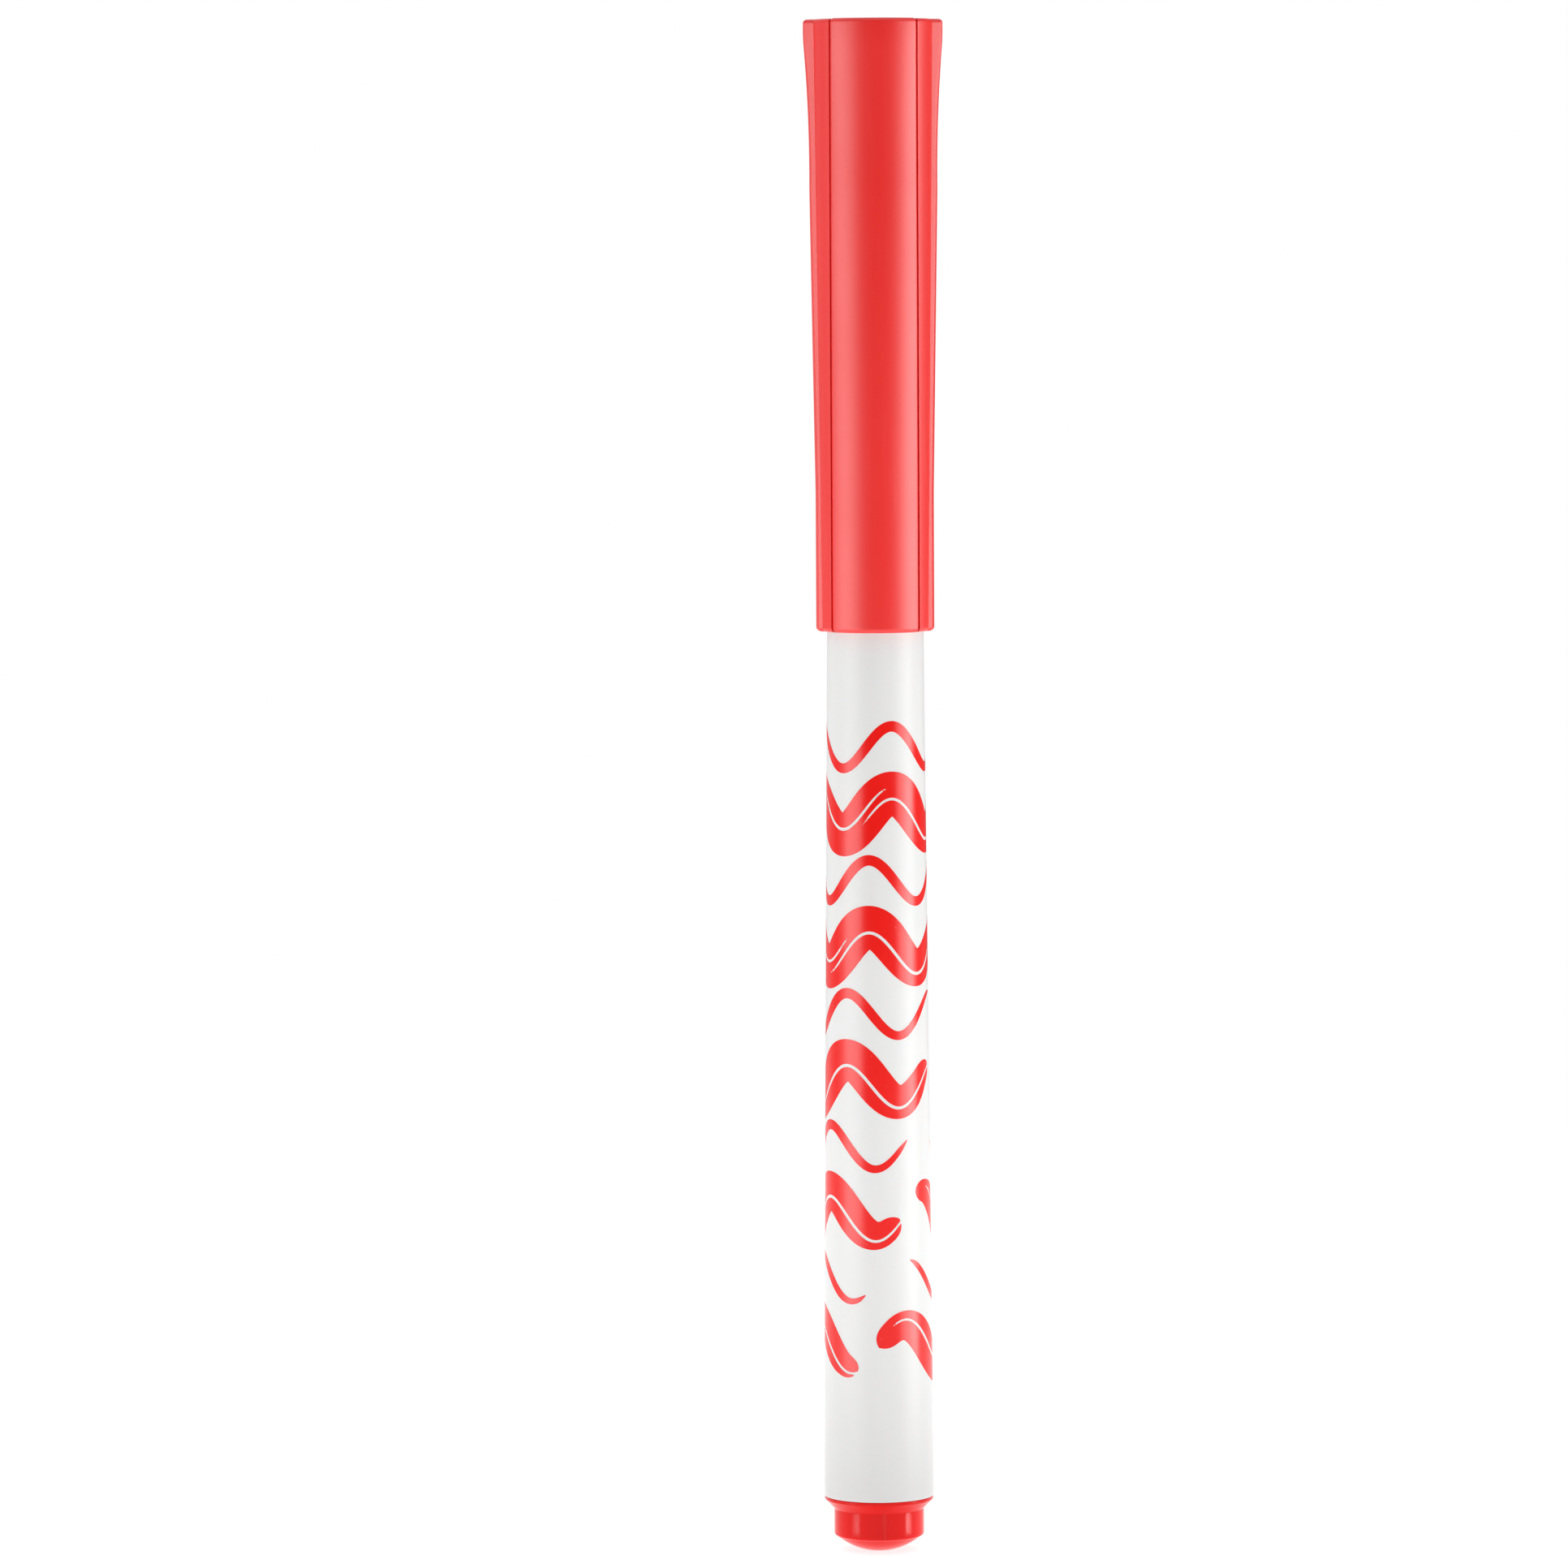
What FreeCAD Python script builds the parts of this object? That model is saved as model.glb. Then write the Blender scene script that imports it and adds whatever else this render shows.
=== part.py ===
import FreeCAD, Part

import math
import os

import Sketcher

# A child's felt tip marker with a brush-shaped fibre nib and a push-on cap.
# The marker stands along +Z on the flat land of its end plug, at z = 0, with its cap on.
# The viewer's side is -Y: one broad panel of the cap faces it.

# Driving dimensions, in millimetres and degrees: alias, value, what it is.
SIZES = (
    ("plug_land_radius", 1.2, "flat gate land on the crown of the end plug"),
    ("plug_dome_radius", 6.4, "radius of the plug's domed crown"),
    ("plug_dome_end_radius", 4.04, "crown, where its dome ends"),
    ("plug_dome_end", 1.36, "height of that place"),
    ("plug_stub_radius", 4.28, "stub that stands out behind the barrel"),
    ("plug_stub_round", 0.3, "rounding between dome and stub"),
    ("plug_stub_top", 4.0, "height where the stub meets the flange"),
    ("plug_flange_radius", 5.18, "flange that closes the barrel's end"),
    ("plug_flange_edge", 4.93, "height where the flange reaches its full radius"),
    ("plug_skirt_radius", 4.32, "skirt pressed into the barrel"),
    ("plug_skirt_top", 11.0, "end of the skirt inside the barrel"),
    ("plug_cavity_radius", 3.1, "hollow inside the plug"),
    ("plug_floor", 1.9, "height of the floor of that hollow"),
    ("plug_lead_in", 0.4, "chamfer round the end of the skirt"),
    ("barrel_rear", 5.2, "height of the barrel's rear edge"),
    ("barrel_rear_radius", 5.23, "barrel outside, at its rear edge"),
    ("barrel_rear_round", 0.12, "rounding of the rear edge"),
    ("barrel_front_radius", 4.55, "barrel outside, at the step under the cap"),
    ("barrel_step", 87.85, "height of that step"),
    ("step_round", 0.2, "rounding of the step's outer edge"),
    ("plug_seat_radius", 4.3, "bore that the plug is pressed into"),
    ("plug_seat_top", 12.5, "end of that bore"),
    ("chamber_rear_radius", 3.95, "ink chamber, at its rear end"),
    ("chamber_rear", 13.2, "height of the chamber's rear end"),
    ("chamber_front_radius", 3.45, "ink chamber, at its front end"),
    ("chamber_front", 119.2, "height of the chamber's front wall"),
    ("section_rear_radius", 4.21, "section under the cap, at the step"),
    ("section_front_radius", 4.07, "section, where its shoulder starts"),
    ("shoulder_start", 122.0, "height where the section ends"),
    ("shoulder_round", 0.9, "rounding of the shoulder's outer edge"),
    ("shoulder_outer_radius", 3.86, "shoulder cone, outer end"),
    ("shoulder_outer_height", 122.8, "height of that end"),
    ("shoulder_inner_radius", 3.02, "shoulder cone, inner end"),
    ("shoulder_inner_height", 123.8, "height of that end"),
    ("collar_fillet", 0.75, "hollow rounding between cone and collar"),
    ("collar_start", 124.3, "height where the sealing collar starts"),
    ("collar_radius", 2.84, "sealing collar"),
    ("collar_top", 127.85, "top of the sealing collar"),
    ("collar_round", 0.35, "rounding of the collar's top edge"),
    ("sleeve_radius", 2.33, "vent sleeve, at the collar"),
    ("sleeve_tip_radius", 2.27, "vent sleeve, at its mouth"),
    ("sleeve_top", 134.4, "mouth of the vent sleeve"),
    ("sleeve_round", 0.3, "rounding of the mouth's outer edge"),
    ("nib_guide_radius", 1.45, "bore that guides the nib behind the vents"),
    ("nib_guide_top", 122.6, "end of that bore"),
    ("vent_bore_radius", 1.8, "air space round the nib behind the vent slots"),
    ("vent_bore_top", 131.4, "end of that air space"),
    ("nib_grip_radius", 1.34, "bore that grips the nib"),
    ("slot_width", 1.2, "vent slot"),
    ("slot_bottom", 128.0, "lower end of the vent slots"),
    ("slot_height", 3.0, "height of the vent slots"),
    ("slot_reach", 3.5, "how far from the axis the slots' cutter reaches"),
    ("slot_turn", 34.5, "angle of the first slot from -Y towards +X, degrees"),
    ("rib_inner_radius", 3.33, "ribs that centre the reservoir"),
    ("rib_outer_radius", 3.85, "root of those ribs, inside the wall"),
    ("rib_width", 0.6, "thickness of those ribs"),
    ("rib_bottom", 60.0, "rear end of those ribs"),
    ("film_radius", 3.3, "outside of the film round the reservoir"),
    ("film_thickness", 0.1, "wall of that film"),
    ("nib_tail", 111.0, "rear end of the nib, inside the reservoir"),
    ("nib_tail_radius", 0.75, "nib, at its rear end"),
    ("nib_tail_cone", 113.0, "height where the nib's tail is full size"),
    ("nib_shank_radius", 1.33, "nib, inside the sleeve"),
    ("nib_belly_radius", 6.5, "curve of the swelling above the sleeve"),
    ("nib_cone_radius", 1.39, "nib, at the foot of its pointed part"),
    ("nib_cone_start", 137.35, "height of that foot"),
    ("nib_side_radius", 60.0, "gentle curve of the pointed part"),
    ("nib_point_radius", 0.12, "nib, where its point is blunted"),
    ("nib_point_start", 143.05, "height of that place"),
    ("nib_tip_radius", 0.05, "flat end of the point"),
    ("nib_top", 143.15, "end of the nib"),
    ("cap_mouth", 87.5, "mouth of the cap, lapped over the step"),
    ("cap_top", 145.0, "rim at the cap's closed end"),
    ("cap_mouth_round", 0.4, "rounding of the mouth's outer edge"),
    ("cap_rim_round", 0.35, "rounding of the rim's outer edge"),
    ("cap_radius", 5.58, "cap panels, at the mouth"),
    ("flare_start", 100.5, "height where the panels start to widen"),
    ("flare_middle_radius", 6.03, "cap panels, halfway up the widening"),
    ("flare_middle", 129.0, "height of that place"),
    ("flare_curve", 150.0, "hollow curve of the panels under the rim"),
    ("flare_end_radius", 6.57, "cap panels, at the rim"),
    ("flare_end", 143.2, "height where they reach it"),
    ("strip_mouth_radius", 5.34, "strips between the panels, at the mouth"),
    ("strip_top_radius", 5.8, "strips between the panels, at the rim"),
    ("panel_width", 8.0, "width of each panel"),
    ("panel_reach", 9.9, "how far from the axis the bars that bound the panels reach"),
    ("lap_radius", 4.63, "counterbore that laps over the barrel's step"),
    ("lap_top", 87.95, "end of that counterbore"),
    ("lap_chamfer", 0.2, "lead-in of the cap's mouth"),
    ("cap_bore_mouth_radius", 4.3, "cap bore, at its mouth"),
    ("cap_bore_top_radius", 4.17, "cap bore, at the section's end"),
    ("cap_bore_taper_end", 122.5, "height where that taper ends and the vent ring starts"),
    ("vent_ring_radius", 4.85, "outside of the vent ring, at the crown"),
    ("seal_radius", 2.88, "bore of the sealing sleeve inside the cap"),
    ("seal_outer_radius", 3.45, "outside of the sealing sleeve"),
    ("seal_mouth", 124.7, "mouth of the sealing sleeve"),
    ("seal_lead_in", 0.25, "chamfer inside that mouth"),
    ("seal_cone", 141.6, "height where the sleeve's roof starts"),
    ("seal_roof_radius", 1.2, "flat middle of that roof"),
    ("seal_roof", 143.6, "height of the roof"),
    ("crown_floor", 144.4, "floor of the shallow dish in the cap's end"),
    ("crown_radius", 5.15, "dish in the cap's end"),
    ("crown_draft", 0.15, "how much the dish widens to the rim"),
    ("bridge_width", 1.2, "bridges between sealing sleeve and cap wall"),
    ("bridge_bottom", 127.0, "lower end of the bridges"),
    ("bridge_inner_radius", 3.2, "root of the bridges in the sleeve"),
    ("bridge_outer_radius", 5.0, "root of the bridges in the cap wall"),
)

SLOTS = 3
RIBS = 4
PANELS = 3
BRIDGES = 3
FULL_TURN = 360
OVERCUT = 1.0

doc = FreeCAD.newDocument("felt_tip_marker")
sheet = doc.addObject("Spreadsheet::Sheet", "Sizes")
for row, (alias, value, note) in enumerate(SIZES, start=1):
    sheet.set(f"A{row}", note)
    sheet.set(f"B{row}", str(value))
    sheet.setAlias(f"B{row}", alias)
doc.recompute()


def size(formula):
    """The sheet's expression for a formula written with bare aliases."""
    words = formula.replace("(", " ( ").replace(")", " ) ").split()
    known = {alias for alias, _, _ in SIZES}
    return " ".join(f"Sizes.{word}" if word in known else word for word in words)


def number(formula):
    """What a formula comes to, in millimetres."""
    return float(sheet.evalExpression(size(formula)))


def new_body(name):
    """An empty body, labelled with its node name."""
    body = doc.addObject("PartDesign::Body", name)
    body.Label = name
    return body


def plane(body, role):
    """One of the body's own origin planes."""
    return next(item for item in body.Origin.OriginFeatures if item.Role == role)


def new_sketch(body, name, role):
    """An empty sketch on one of the body's origin planes."""
    sketch = body.newObject("Sketcher::SketchObject", name)
    sketch.AttachmentSupport = [(plane(body, role), "")]
    sketch.MapMode = "FlatFace"
    return sketch


def arc_between(start, end, radius, side):
    """The short arc from start to end, and whether it runs anticlockwise.

    side is +1 where the arc's centre lies to the left of the way from start to end, and -1 to its right.
    """
    chord = end - start
    middle = (start + end) * 0.5
    rise = math.sqrt(max(radius**2 - (chord.Length / 2) ** 2, 0.0))
    left = FreeCAD.Vector(-chord.y, chord.x, 0).normalize()
    centre = middle + left * (rise * side)
    circle = Part.Circle(centre, FreeCAD.Vector(0, 0, 1), radius)
    first, last = (start, end) if side > 0 else (end, start)
    begin = math.atan2(first.y - centre.y, first.x - centre.x)
    finish = math.atan2(last.y - centre.y, last.x - centre.x)
    if finish < begin:
        finish += 2 * math.pi
    return Part.ArcOfCircle(circle, begin, finish), side > 0


def closed_outline(sketch, corners):
    """Draws a closed outline through corners, each bound to the sheet.

    A corner is (x, y), or (x, y, radius, side) where an arc leads from it to the next corner.
    """
    points = [FreeCAD.Vector(number(c[0]), number(c[1]), 0) for c in corners]
    walk_ends = []
    for index, corner in enumerate(corners):
        start, end = points[index], points[(index + 1) % len(points)]
        if len(corner) == 2:
            geometry = sketch.addGeometry(Part.LineSegment(start, end))
            walk_ends.append((geometry, 1, 2))
            continue
        arc, anticlockwise = arc_between(start, end, number(corner[2]), corner[3])
        geometry = sketch.addGeometry(arc)
        walk_ends.append((geometry, 1, 2) if anticlockwise else (geometry, 2, 1))
    for index, corner in enumerate(corners):
        geometry, first, last = walk_ends[index]
        following, following_first, _ = walk_ends[(index + 1) % len(corners)]
        sketch.addConstraint(Sketcher.Constraint("Coincident", geometry, last, following, following_first))
        x, y = points[index].x, points[index].y
        for kind, formula, value in (("DistanceX", corner[0], x), ("DistanceY", corner[1], y)):
            datum = sketch.addConstraint(Sketcher.Constraint(kind, -1, 1, geometry, first, value))
            sketch.setExpression(f"Constraints[{datum}]", size(formula))
        if len(corner) == 4:
            datum = sketch.addConstraint(Sketcher.Constraint("Radius", geometry, number(corner[2])))
            sketch.setExpression(f"Constraints[{datum}]", size(corner[2]))


def turned(body, name, corners):
    """Revolves an outline of (radius, height) corners round Z."""
    sketch = new_sketch(body, f"{name}_outline", "XZ_Plane")
    closed_outline(sketch, corners)
    feature = body.newObject("PartDesign::Revolution", name)
    feature.Profile = sketch
    feature.ReferenceAxis = (sketch, ["V_Axis"])
    feature.Angle = FULL_TURN
    body.Tip = feature
    doc.recompute()
    return feature


def patterned(body, name, original, count):
    """Repeats a feature round Z and makes the pattern the body's tip."""
    axis = next(item for item in body.Origin.OriginFeatures if item.Role == "Z_Axis")
    pattern = body.newObject("PartDesign::PolarPattern", name)
    pattern.Originals = [original]
    pattern.Axis = (axis, [""])
    pattern.Angle = FULL_TURN
    pattern.Occurrences = count
    body.Tip = pattern
    doc.recompute()
    return pattern


def padded_bar(body, name, corners, bottom, height):
    """Pads an outline that lies at a height above the ground plane."""
    sketch = new_sketch(body, f"{name}_outline", "XY_Plane")
    sketch.setExpression("AttachmentOffset.Base.z", size(bottom))
    closed_outline(sketch, corners)
    pad = body.newObject("PartDesign::Pad", name)
    pad.Profile = sketch
    pad.setExpression("Length", size(height))
    body.Tip = pad
    doc.recompute()
    return pad


def end_plug():
    """Domed plug: crown, stub, flange, and a hollow skirt pressed into the barrel."""
    body = new_body("end_plug")
    turned(body, "plug_shell", (
        ("0", "0"),
        ("plug_land_radius", "0", "plug_dome_radius", 1),
        ("plug_dome_end_radius", "plug_dome_end", "plug_stub_round", 1),
        ("plug_stub_radius", "plug_dome_end + plug_stub_round"),
        ("plug_stub_radius", "plug_stub_top"),
        ("plug_flange_radius", "plug_flange_edge"),
        ("plug_flange_radius", "barrel_rear"),
        ("plug_skirt_radius", "barrel_rear"),
        ("plug_skirt_radius", "plug_skirt_top - plug_lead_in"),
        ("plug_skirt_radius - plug_lead_in", "plug_skirt_top"),
        ("plug_cavity_radius", "plug_skirt_top"),
        ("plug_cavity_radius", "plug_floor"),
        ("0", "plug_floor"),
    ))
    return body


def barrel():
    """Barrel, section, shoulder, collar and vent sleeve in one moulding."""
    body = new_body("barrel")
    turned(body, "barrel_shell", (
        ("plug_seat_radius", "barrel_rear"),
        ("barrel_rear_radius - barrel_rear_round", "barrel_rear", "barrel_rear_round", 1),
        ("barrel_rear_radius", "barrel_rear + barrel_rear_round"),
        ("barrel_front_radius", "barrel_step - step_round", "step_round", 1),
        ("barrel_front_radius - step_round", "barrel_step"),
        ("section_rear_radius", "barrel_step"),
        ("section_front_radius", "shoulder_start", "shoulder_round", 1),
        ("shoulder_outer_radius", "shoulder_outer_height"),
        ("shoulder_inner_radius", "shoulder_inner_height", "collar_fillet", -1),
        ("collar_radius", "collar_start"),
        ("collar_radius", "collar_top - collar_round", "collar_round", 1),
        ("collar_radius - collar_round", "collar_top"),
        ("sleeve_radius", "collar_top"),
        ("sleeve_tip_radius", "sleeve_top - sleeve_round", "sleeve_round", 1),
        ("sleeve_tip_radius - sleeve_round", "sleeve_top"),
        ("nib_grip_radius", "sleeve_top"),
        ("nib_grip_radius", "vent_bore_top"),
        ("vent_bore_radius", "vent_bore_top"),
        ("vent_bore_radius", "nib_guide_top"),
        ("nib_guide_radius", "nib_guide_top"),
        ("nib_guide_radius", "chamber_front"),
        ("chamber_front_radius", "chamber_front"),
        ("chamber_rear_radius", "chamber_rear"),
        ("plug_seat_radius", "plug_seat_top"),
    ))
    rib = padded_bar(body, "centring_rib", (
        ("rib_inner_radius", "0 - rib_width / 2"),
        ("rib_outer_radius", "0 - rib_width / 2"),
        ("rib_outer_radius", "rib_width / 2"),
        ("rib_inner_radius", "rib_width / 2"),
    ), "rib_bottom", "chamber_front - rib_bottom")
    patterned(body, "centring_ribs", rib, RIBS)
    sketch = new_sketch(body, "vent_slot_outline", "XZ_Plane")
    sketch.AttachmentOffset = FreeCAD.Placement(
        FreeCAD.Vector(0, 0, 0), FreeCAD.Rotation(FreeCAD.Vector(0, 1, 0), number("slot_turn")))
    sketch.setExpression("AttachmentOffset.Rotation.Angle", size("slot_turn") + " * 1 deg")
    closed_outline(sketch, (
        ("0 - slot_width / 2", "slot_bottom"),
        ("slot_width / 2", "slot_bottom"),
        ("slot_width / 2", "slot_bottom + slot_height"),
        ("0 - slot_width / 2", "slot_bottom + slot_height"),
    ))
    slot = body.newObject("PartDesign::Pocket", "vent_slot")
    slot.Profile = sketch
    slot.setExpression("Length", size("slot_reach"))
    slot.Reversed = True
    body.Tip = slot
    doc.recompute()
    patterned(body, "vent_slots", slot, SLOTS)
    return body


def nib():
    """Bonded fibre nib: tail in the reservoir, shank in the sleeve, brush-shaped point outside."""
    body = new_body("nib")
    turned(body, "nib_solid", (
        ("0", "nib_tail"),
        ("nib_tail_radius", "nib_tail"),
        ("nib_shank_radius", "nib_tail_cone"),
        ("nib_shank_radius", "sleeve_top", "nib_belly_radius", 1),
        ("nib_cone_radius", "nib_cone_start", "nib_side_radius", 1),
        ("nib_point_radius", "nib_point_start"),
        ("nib_tip_radius", "nib_top"),
        ("0", "nib_top"),
    ))
    return body


def reservoir_core():
    """Fibre filler that holds the ink, with the pit that the nib's tail presses into it."""
    body = new_body("reservoir_core")
    turned(body, "core_solid", (
        ("0", "plug_skirt_top"),
        ("film_radius - film_thickness", "plug_skirt_top"),
        ("film_radius - film_thickness", "chamber_front"),
        ("nib_shank_radius", "chamber_front"),
        ("nib_shank_radius", "nib_tail_cone"),
        ("nib_tail_radius", "nib_tail"),
        ("0", "nib_tail"),
    ))
    return body


def reservoir_film():
    """Plastic film wound round the filler."""
    body = new_body("reservoir_film")
    turned(body, "film_tube", (
        ("film_radius - film_thickness", "plug_skirt_top"),
        ("film_radius", "plug_skirt_top"),
        ("film_radius", "chamber_front"),
        ("film_radius - film_thickness", "chamber_front"),
    ))
    return body


def boolean(kind, name, pieces):
    """A Part boolean of several shapes."""
    result = doc.addObject(f"Part::{kind}", name)
    result.Shapes = pieces
    doc.recompute()
    return result


def cap():
    """Push-on cap: a drafted core, three broad panels that widen to the rim, and a sealing sleeve inside."""
    core = new_body("cap_core")
    turned(core, "core_cone", (
        ("0", "cap_mouth"),
        ("strip_mouth_radius - cap_mouth_round", "cap_mouth", "cap_mouth_round", 1),
        ("strip_mouth_radius", "cap_mouth + cap_mouth_round"),
        ("strip_top_radius", "cap_top - cap_rim_round", "cap_rim_round", 1),
        ("strip_top_radius - cap_rim_round", "cap_top"),
        ("0", "cap_top"),
    ))
    flare = new_body("cap_flare")
    turned(flare, "flare_solid", (
        ("0", "cap_mouth"),
        ("cap_radius - cap_mouth_round", "cap_mouth", "cap_mouth_round", 1),
        ("cap_radius", "cap_mouth + cap_mouth_round"),
        ("cap_radius", "flare_start"),
        ("flare_middle_radius", "flare_middle", "flare_curve", -1),
        ("flare_end_radius", "flare_end"),
        ("flare_end_radius", "cap_top - cap_rim_round", "cap_rim_round", 1),
        ("flare_end_radius - cap_rim_round", "cap_top"),
        ("0", "cap_top"),
    ))
    bars = new_body("cap_panel_bars")
    bar = padded_bar(bars, "panel_bar", (
        ("0 - panel_width / 2", "0 - panel_reach"),
        ("panel_width / 2", "0 - panel_reach"),
        ("panel_width / 2", "0"),
        ("0 - panel_width / 2", "0"),
    ), f"cap_mouth - {OVERCUT}", f"cap_top - cap_mouth + 2 * {OVERCUT}")
    patterned(bars, "panel_bars", bar, PANELS)
    hollow = new_body("cap_hollow")
    turned(hollow, "hollow_solid", (
        ("0", f"cap_mouth - {OVERCUT}"),
        ("lap_radius + lap_chamfer", f"cap_mouth - {OVERCUT}"),
        ("lap_radius + lap_chamfer", "cap_mouth"),
        ("lap_radius", "cap_mouth + lap_chamfer"),
        ("lap_radius", "lap_top"),
        ("cap_bore_mouth_radius", "lap_top"),
        ("cap_bore_top_radius", "cap_bore_taper_end"),
        ("vent_ring_radius", "crown_floor"),
        ("crown_radius", "crown_floor"),
        ("crown_radius + crown_draft", "cap_top"),
        ("crown_radius + crown_draft", f"cap_top + {OVERCUT}"),
        ("0", f"cap_top + {OVERCUT}"),
        ("0", "crown_floor"),
        ("seal_outer_radius", "crown_floor"),
        ("seal_outer_radius", "seal_mouth"),
        ("seal_radius + seal_lead_in", "seal_mouth"),
        ("seal_radius", "seal_mouth + seal_lead_in"),
        ("seal_radius", "seal_cone"),
        ("seal_roof_radius", "seal_roof"),
        ("0", "seal_roof"),
    ))
    bridges = new_body("cap_bridges")
    bridge = padded_bar(bridges, "bridge", (
        ("0 - bridge_width / 2", "bridge_inner_radius"),
        ("bridge_width / 2", "bridge_inner_radius"),
        ("bridge_width / 2", "bridge_outer_radius"),
        ("0 - bridge_width / 2", "bridge_outer_radius"),
    ), "bridge_bottom", "crown_floor - bridge_bottom")
    patterned(bridges, "bridge_ring", bridge, BRIDGES)
    panels = boolean("MultiCommon", "cap_panels", [flare, bars])
    outside = boolean("MultiFuse", "cap_outside", [core, panels])
    shell = doc.addObject("Part::Cut", "cap_shell")
    shell.Base = outside
    shell.Tool = hollow
    doc.recompute()
    whole = boolean("MultiFuse", "cap", [shell, bridges])
    whole.Label = "cap"
    return whole


PIECES = [end_plug(), barrel(), reservoir_film(), reservoir_core(), nib(), cap()]
doc.recompute()

for item in doc.Objects:
    if "Invalid" in item.State or "Error" in item.State:
        raise RuntimeError(f"{item.Name} failed: {item.State}")
os.makedirs("parts", exist_ok=True)
for piece in PIECES:
    shape = piece.Shape
    if shape.isNull() or not shape.isValid():
        raise RuntimeError(f"{piece.Label} has no valid shape")
    print(f"{piece.Label}: {len(shape.Solids)} solid, {shape.Volume:.1f} mm3, box {shape.BoundBox}")
    shape.exportStep(f"parts/{piece.Label}.step")
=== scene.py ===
"""The looks of a felt tip marker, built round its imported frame.

The pen stands on the domed plug at its rear end, with its cap on. Every piece is made in metres in the
frame's own axes: +Z along the pen, -Y towards the viewer.
"""

import logging
import math
from dataclasses import dataclass
from enum import Enum
from typing import Any, Iterable, Sequence

import bmesh
import bpy
import numpy as np
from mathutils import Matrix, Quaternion, Vector


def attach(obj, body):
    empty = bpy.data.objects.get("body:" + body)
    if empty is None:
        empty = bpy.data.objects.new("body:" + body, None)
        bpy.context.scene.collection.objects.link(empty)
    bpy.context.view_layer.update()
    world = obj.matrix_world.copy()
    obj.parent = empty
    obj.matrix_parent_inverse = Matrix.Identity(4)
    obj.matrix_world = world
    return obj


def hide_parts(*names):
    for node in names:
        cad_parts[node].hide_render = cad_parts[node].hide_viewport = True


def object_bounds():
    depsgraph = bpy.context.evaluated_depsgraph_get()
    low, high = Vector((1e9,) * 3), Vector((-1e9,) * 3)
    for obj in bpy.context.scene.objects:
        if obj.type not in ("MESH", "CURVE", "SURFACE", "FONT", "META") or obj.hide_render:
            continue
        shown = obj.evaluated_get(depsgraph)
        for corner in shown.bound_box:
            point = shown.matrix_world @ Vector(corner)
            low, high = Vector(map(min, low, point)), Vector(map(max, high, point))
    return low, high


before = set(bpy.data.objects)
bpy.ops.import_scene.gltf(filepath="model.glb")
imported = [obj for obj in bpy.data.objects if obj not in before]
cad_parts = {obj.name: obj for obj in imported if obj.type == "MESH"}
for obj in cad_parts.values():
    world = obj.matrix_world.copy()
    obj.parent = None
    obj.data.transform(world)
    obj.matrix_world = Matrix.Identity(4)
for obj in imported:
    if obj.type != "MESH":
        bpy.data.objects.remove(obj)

CAD_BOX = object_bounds()
MM = 0.001
TAU = 2 * math.pi
LOG = logging.getLogger("marker")

Point = tuple[float, float]
Colour = tuple[float, float, float]


class Body(Enum):
    """The rigid bodies of the frame that pieces ride on."""

    PEN = "pen"
    CAP = "cap"


class Slot(Enum):
    """The material slots of the record."""

    WHITE = "white_plastic"
    CAP_RED = "red_cap_plastic"
    PLUG_RED = "red_plug_plastic"
    FIBRE = "inked_fibre"


# ---------------------------------------------------------------- node trees


class Wire:
    """An output socket that works as a number in Python expressions."""

    def __init__(self, graph: "Graph", socket: bpy.types.NodeSocket | None,
                 node: bpy.types.Node | None = None) -> None:
        """Keeps the socket, its node and the graph they belong to."""
        self.graph = graph
        self.socket = socket
        self.node = node

    def _math(self, operation: str, first: Any, second: Any = 0.0) -> "Wire":
        """One Math node."""
        return self.graph.add("ShaderNodeMath", {"operation": operation}, {0: first, 1: second})

    def __add__(self, other: Any) -> "Wire":
        """self + other."""
        return self._math("ADD", self, other)

    __radd__ = __add__

    def __sub__(self, other: Any) -> "Wire":
        """self - other."""
        return self._math("SUBTRACT", self, other)

    def __rsub__(self, other: Any) -> "Wire":
        """other - self."""
        return self._math("SUBTRACT", other, self)

    def __mul__(self, other: Any) -> "Wire":
        """self * other."""
        return self._math("MULTIPLY", self, other)

    __rmul__ = __mul__

    def __truediv__(self, other: Any) -> "Wire":
        """self / other."""
        return self._math("DIVIDE", self, other)

    def step(self, low: float, high: float) -> "Wire":
        """A smooth step from 0 at low to 1 at high."""
        return self.graph.add("ShaderNodeMapRange", {"interpolation_type": "SMOOTHSTEP"},
                              {"Value": self, "From Min": low, "From Max": high})


class Graph:
    """A node tree, shader or geometry, that is written as calls."""

    def __init__(self, tree: bpy.types.NodeTree) -> None:
        """Starts from an empty tree."""
        self.tree = tree
        tree.nodes.clear()

    def add(self, kind: str, settings: dict[str, Any] | None = None, inputs: dict[Any, Any] | None = None,
            output: int | str = 0) -> Wire:
        """Adds a node.

        Args:
            kind: the node's type.
            settings: attributes of the node, set before its sockets.
            inputs: values or wires, by socket name or index.
            output: which output the wire stands for.

        Returns:
            The wire of that output.
        """
        node = self.tree.nodes.new(kind)
        for key, value in (settings or {}).items():
            setattr(node, key, value)
        for key, value in (inputs or {}).items():
            socket = node.inputs[key]
            if isinstance(value, Wire):
                self.tree.links.new(value.socket, socket)
            elif value is not None:
                socket.default_value = value
        return Wire(self, node.outputs[output] if node.outputs else None, node)

    def other(self, wire: Wire, output: int | str) -> Wire:
        """Another output of the node that a wire comes from."""
        return Wire(self, wire.node.outputs[output], wire.node)


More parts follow.
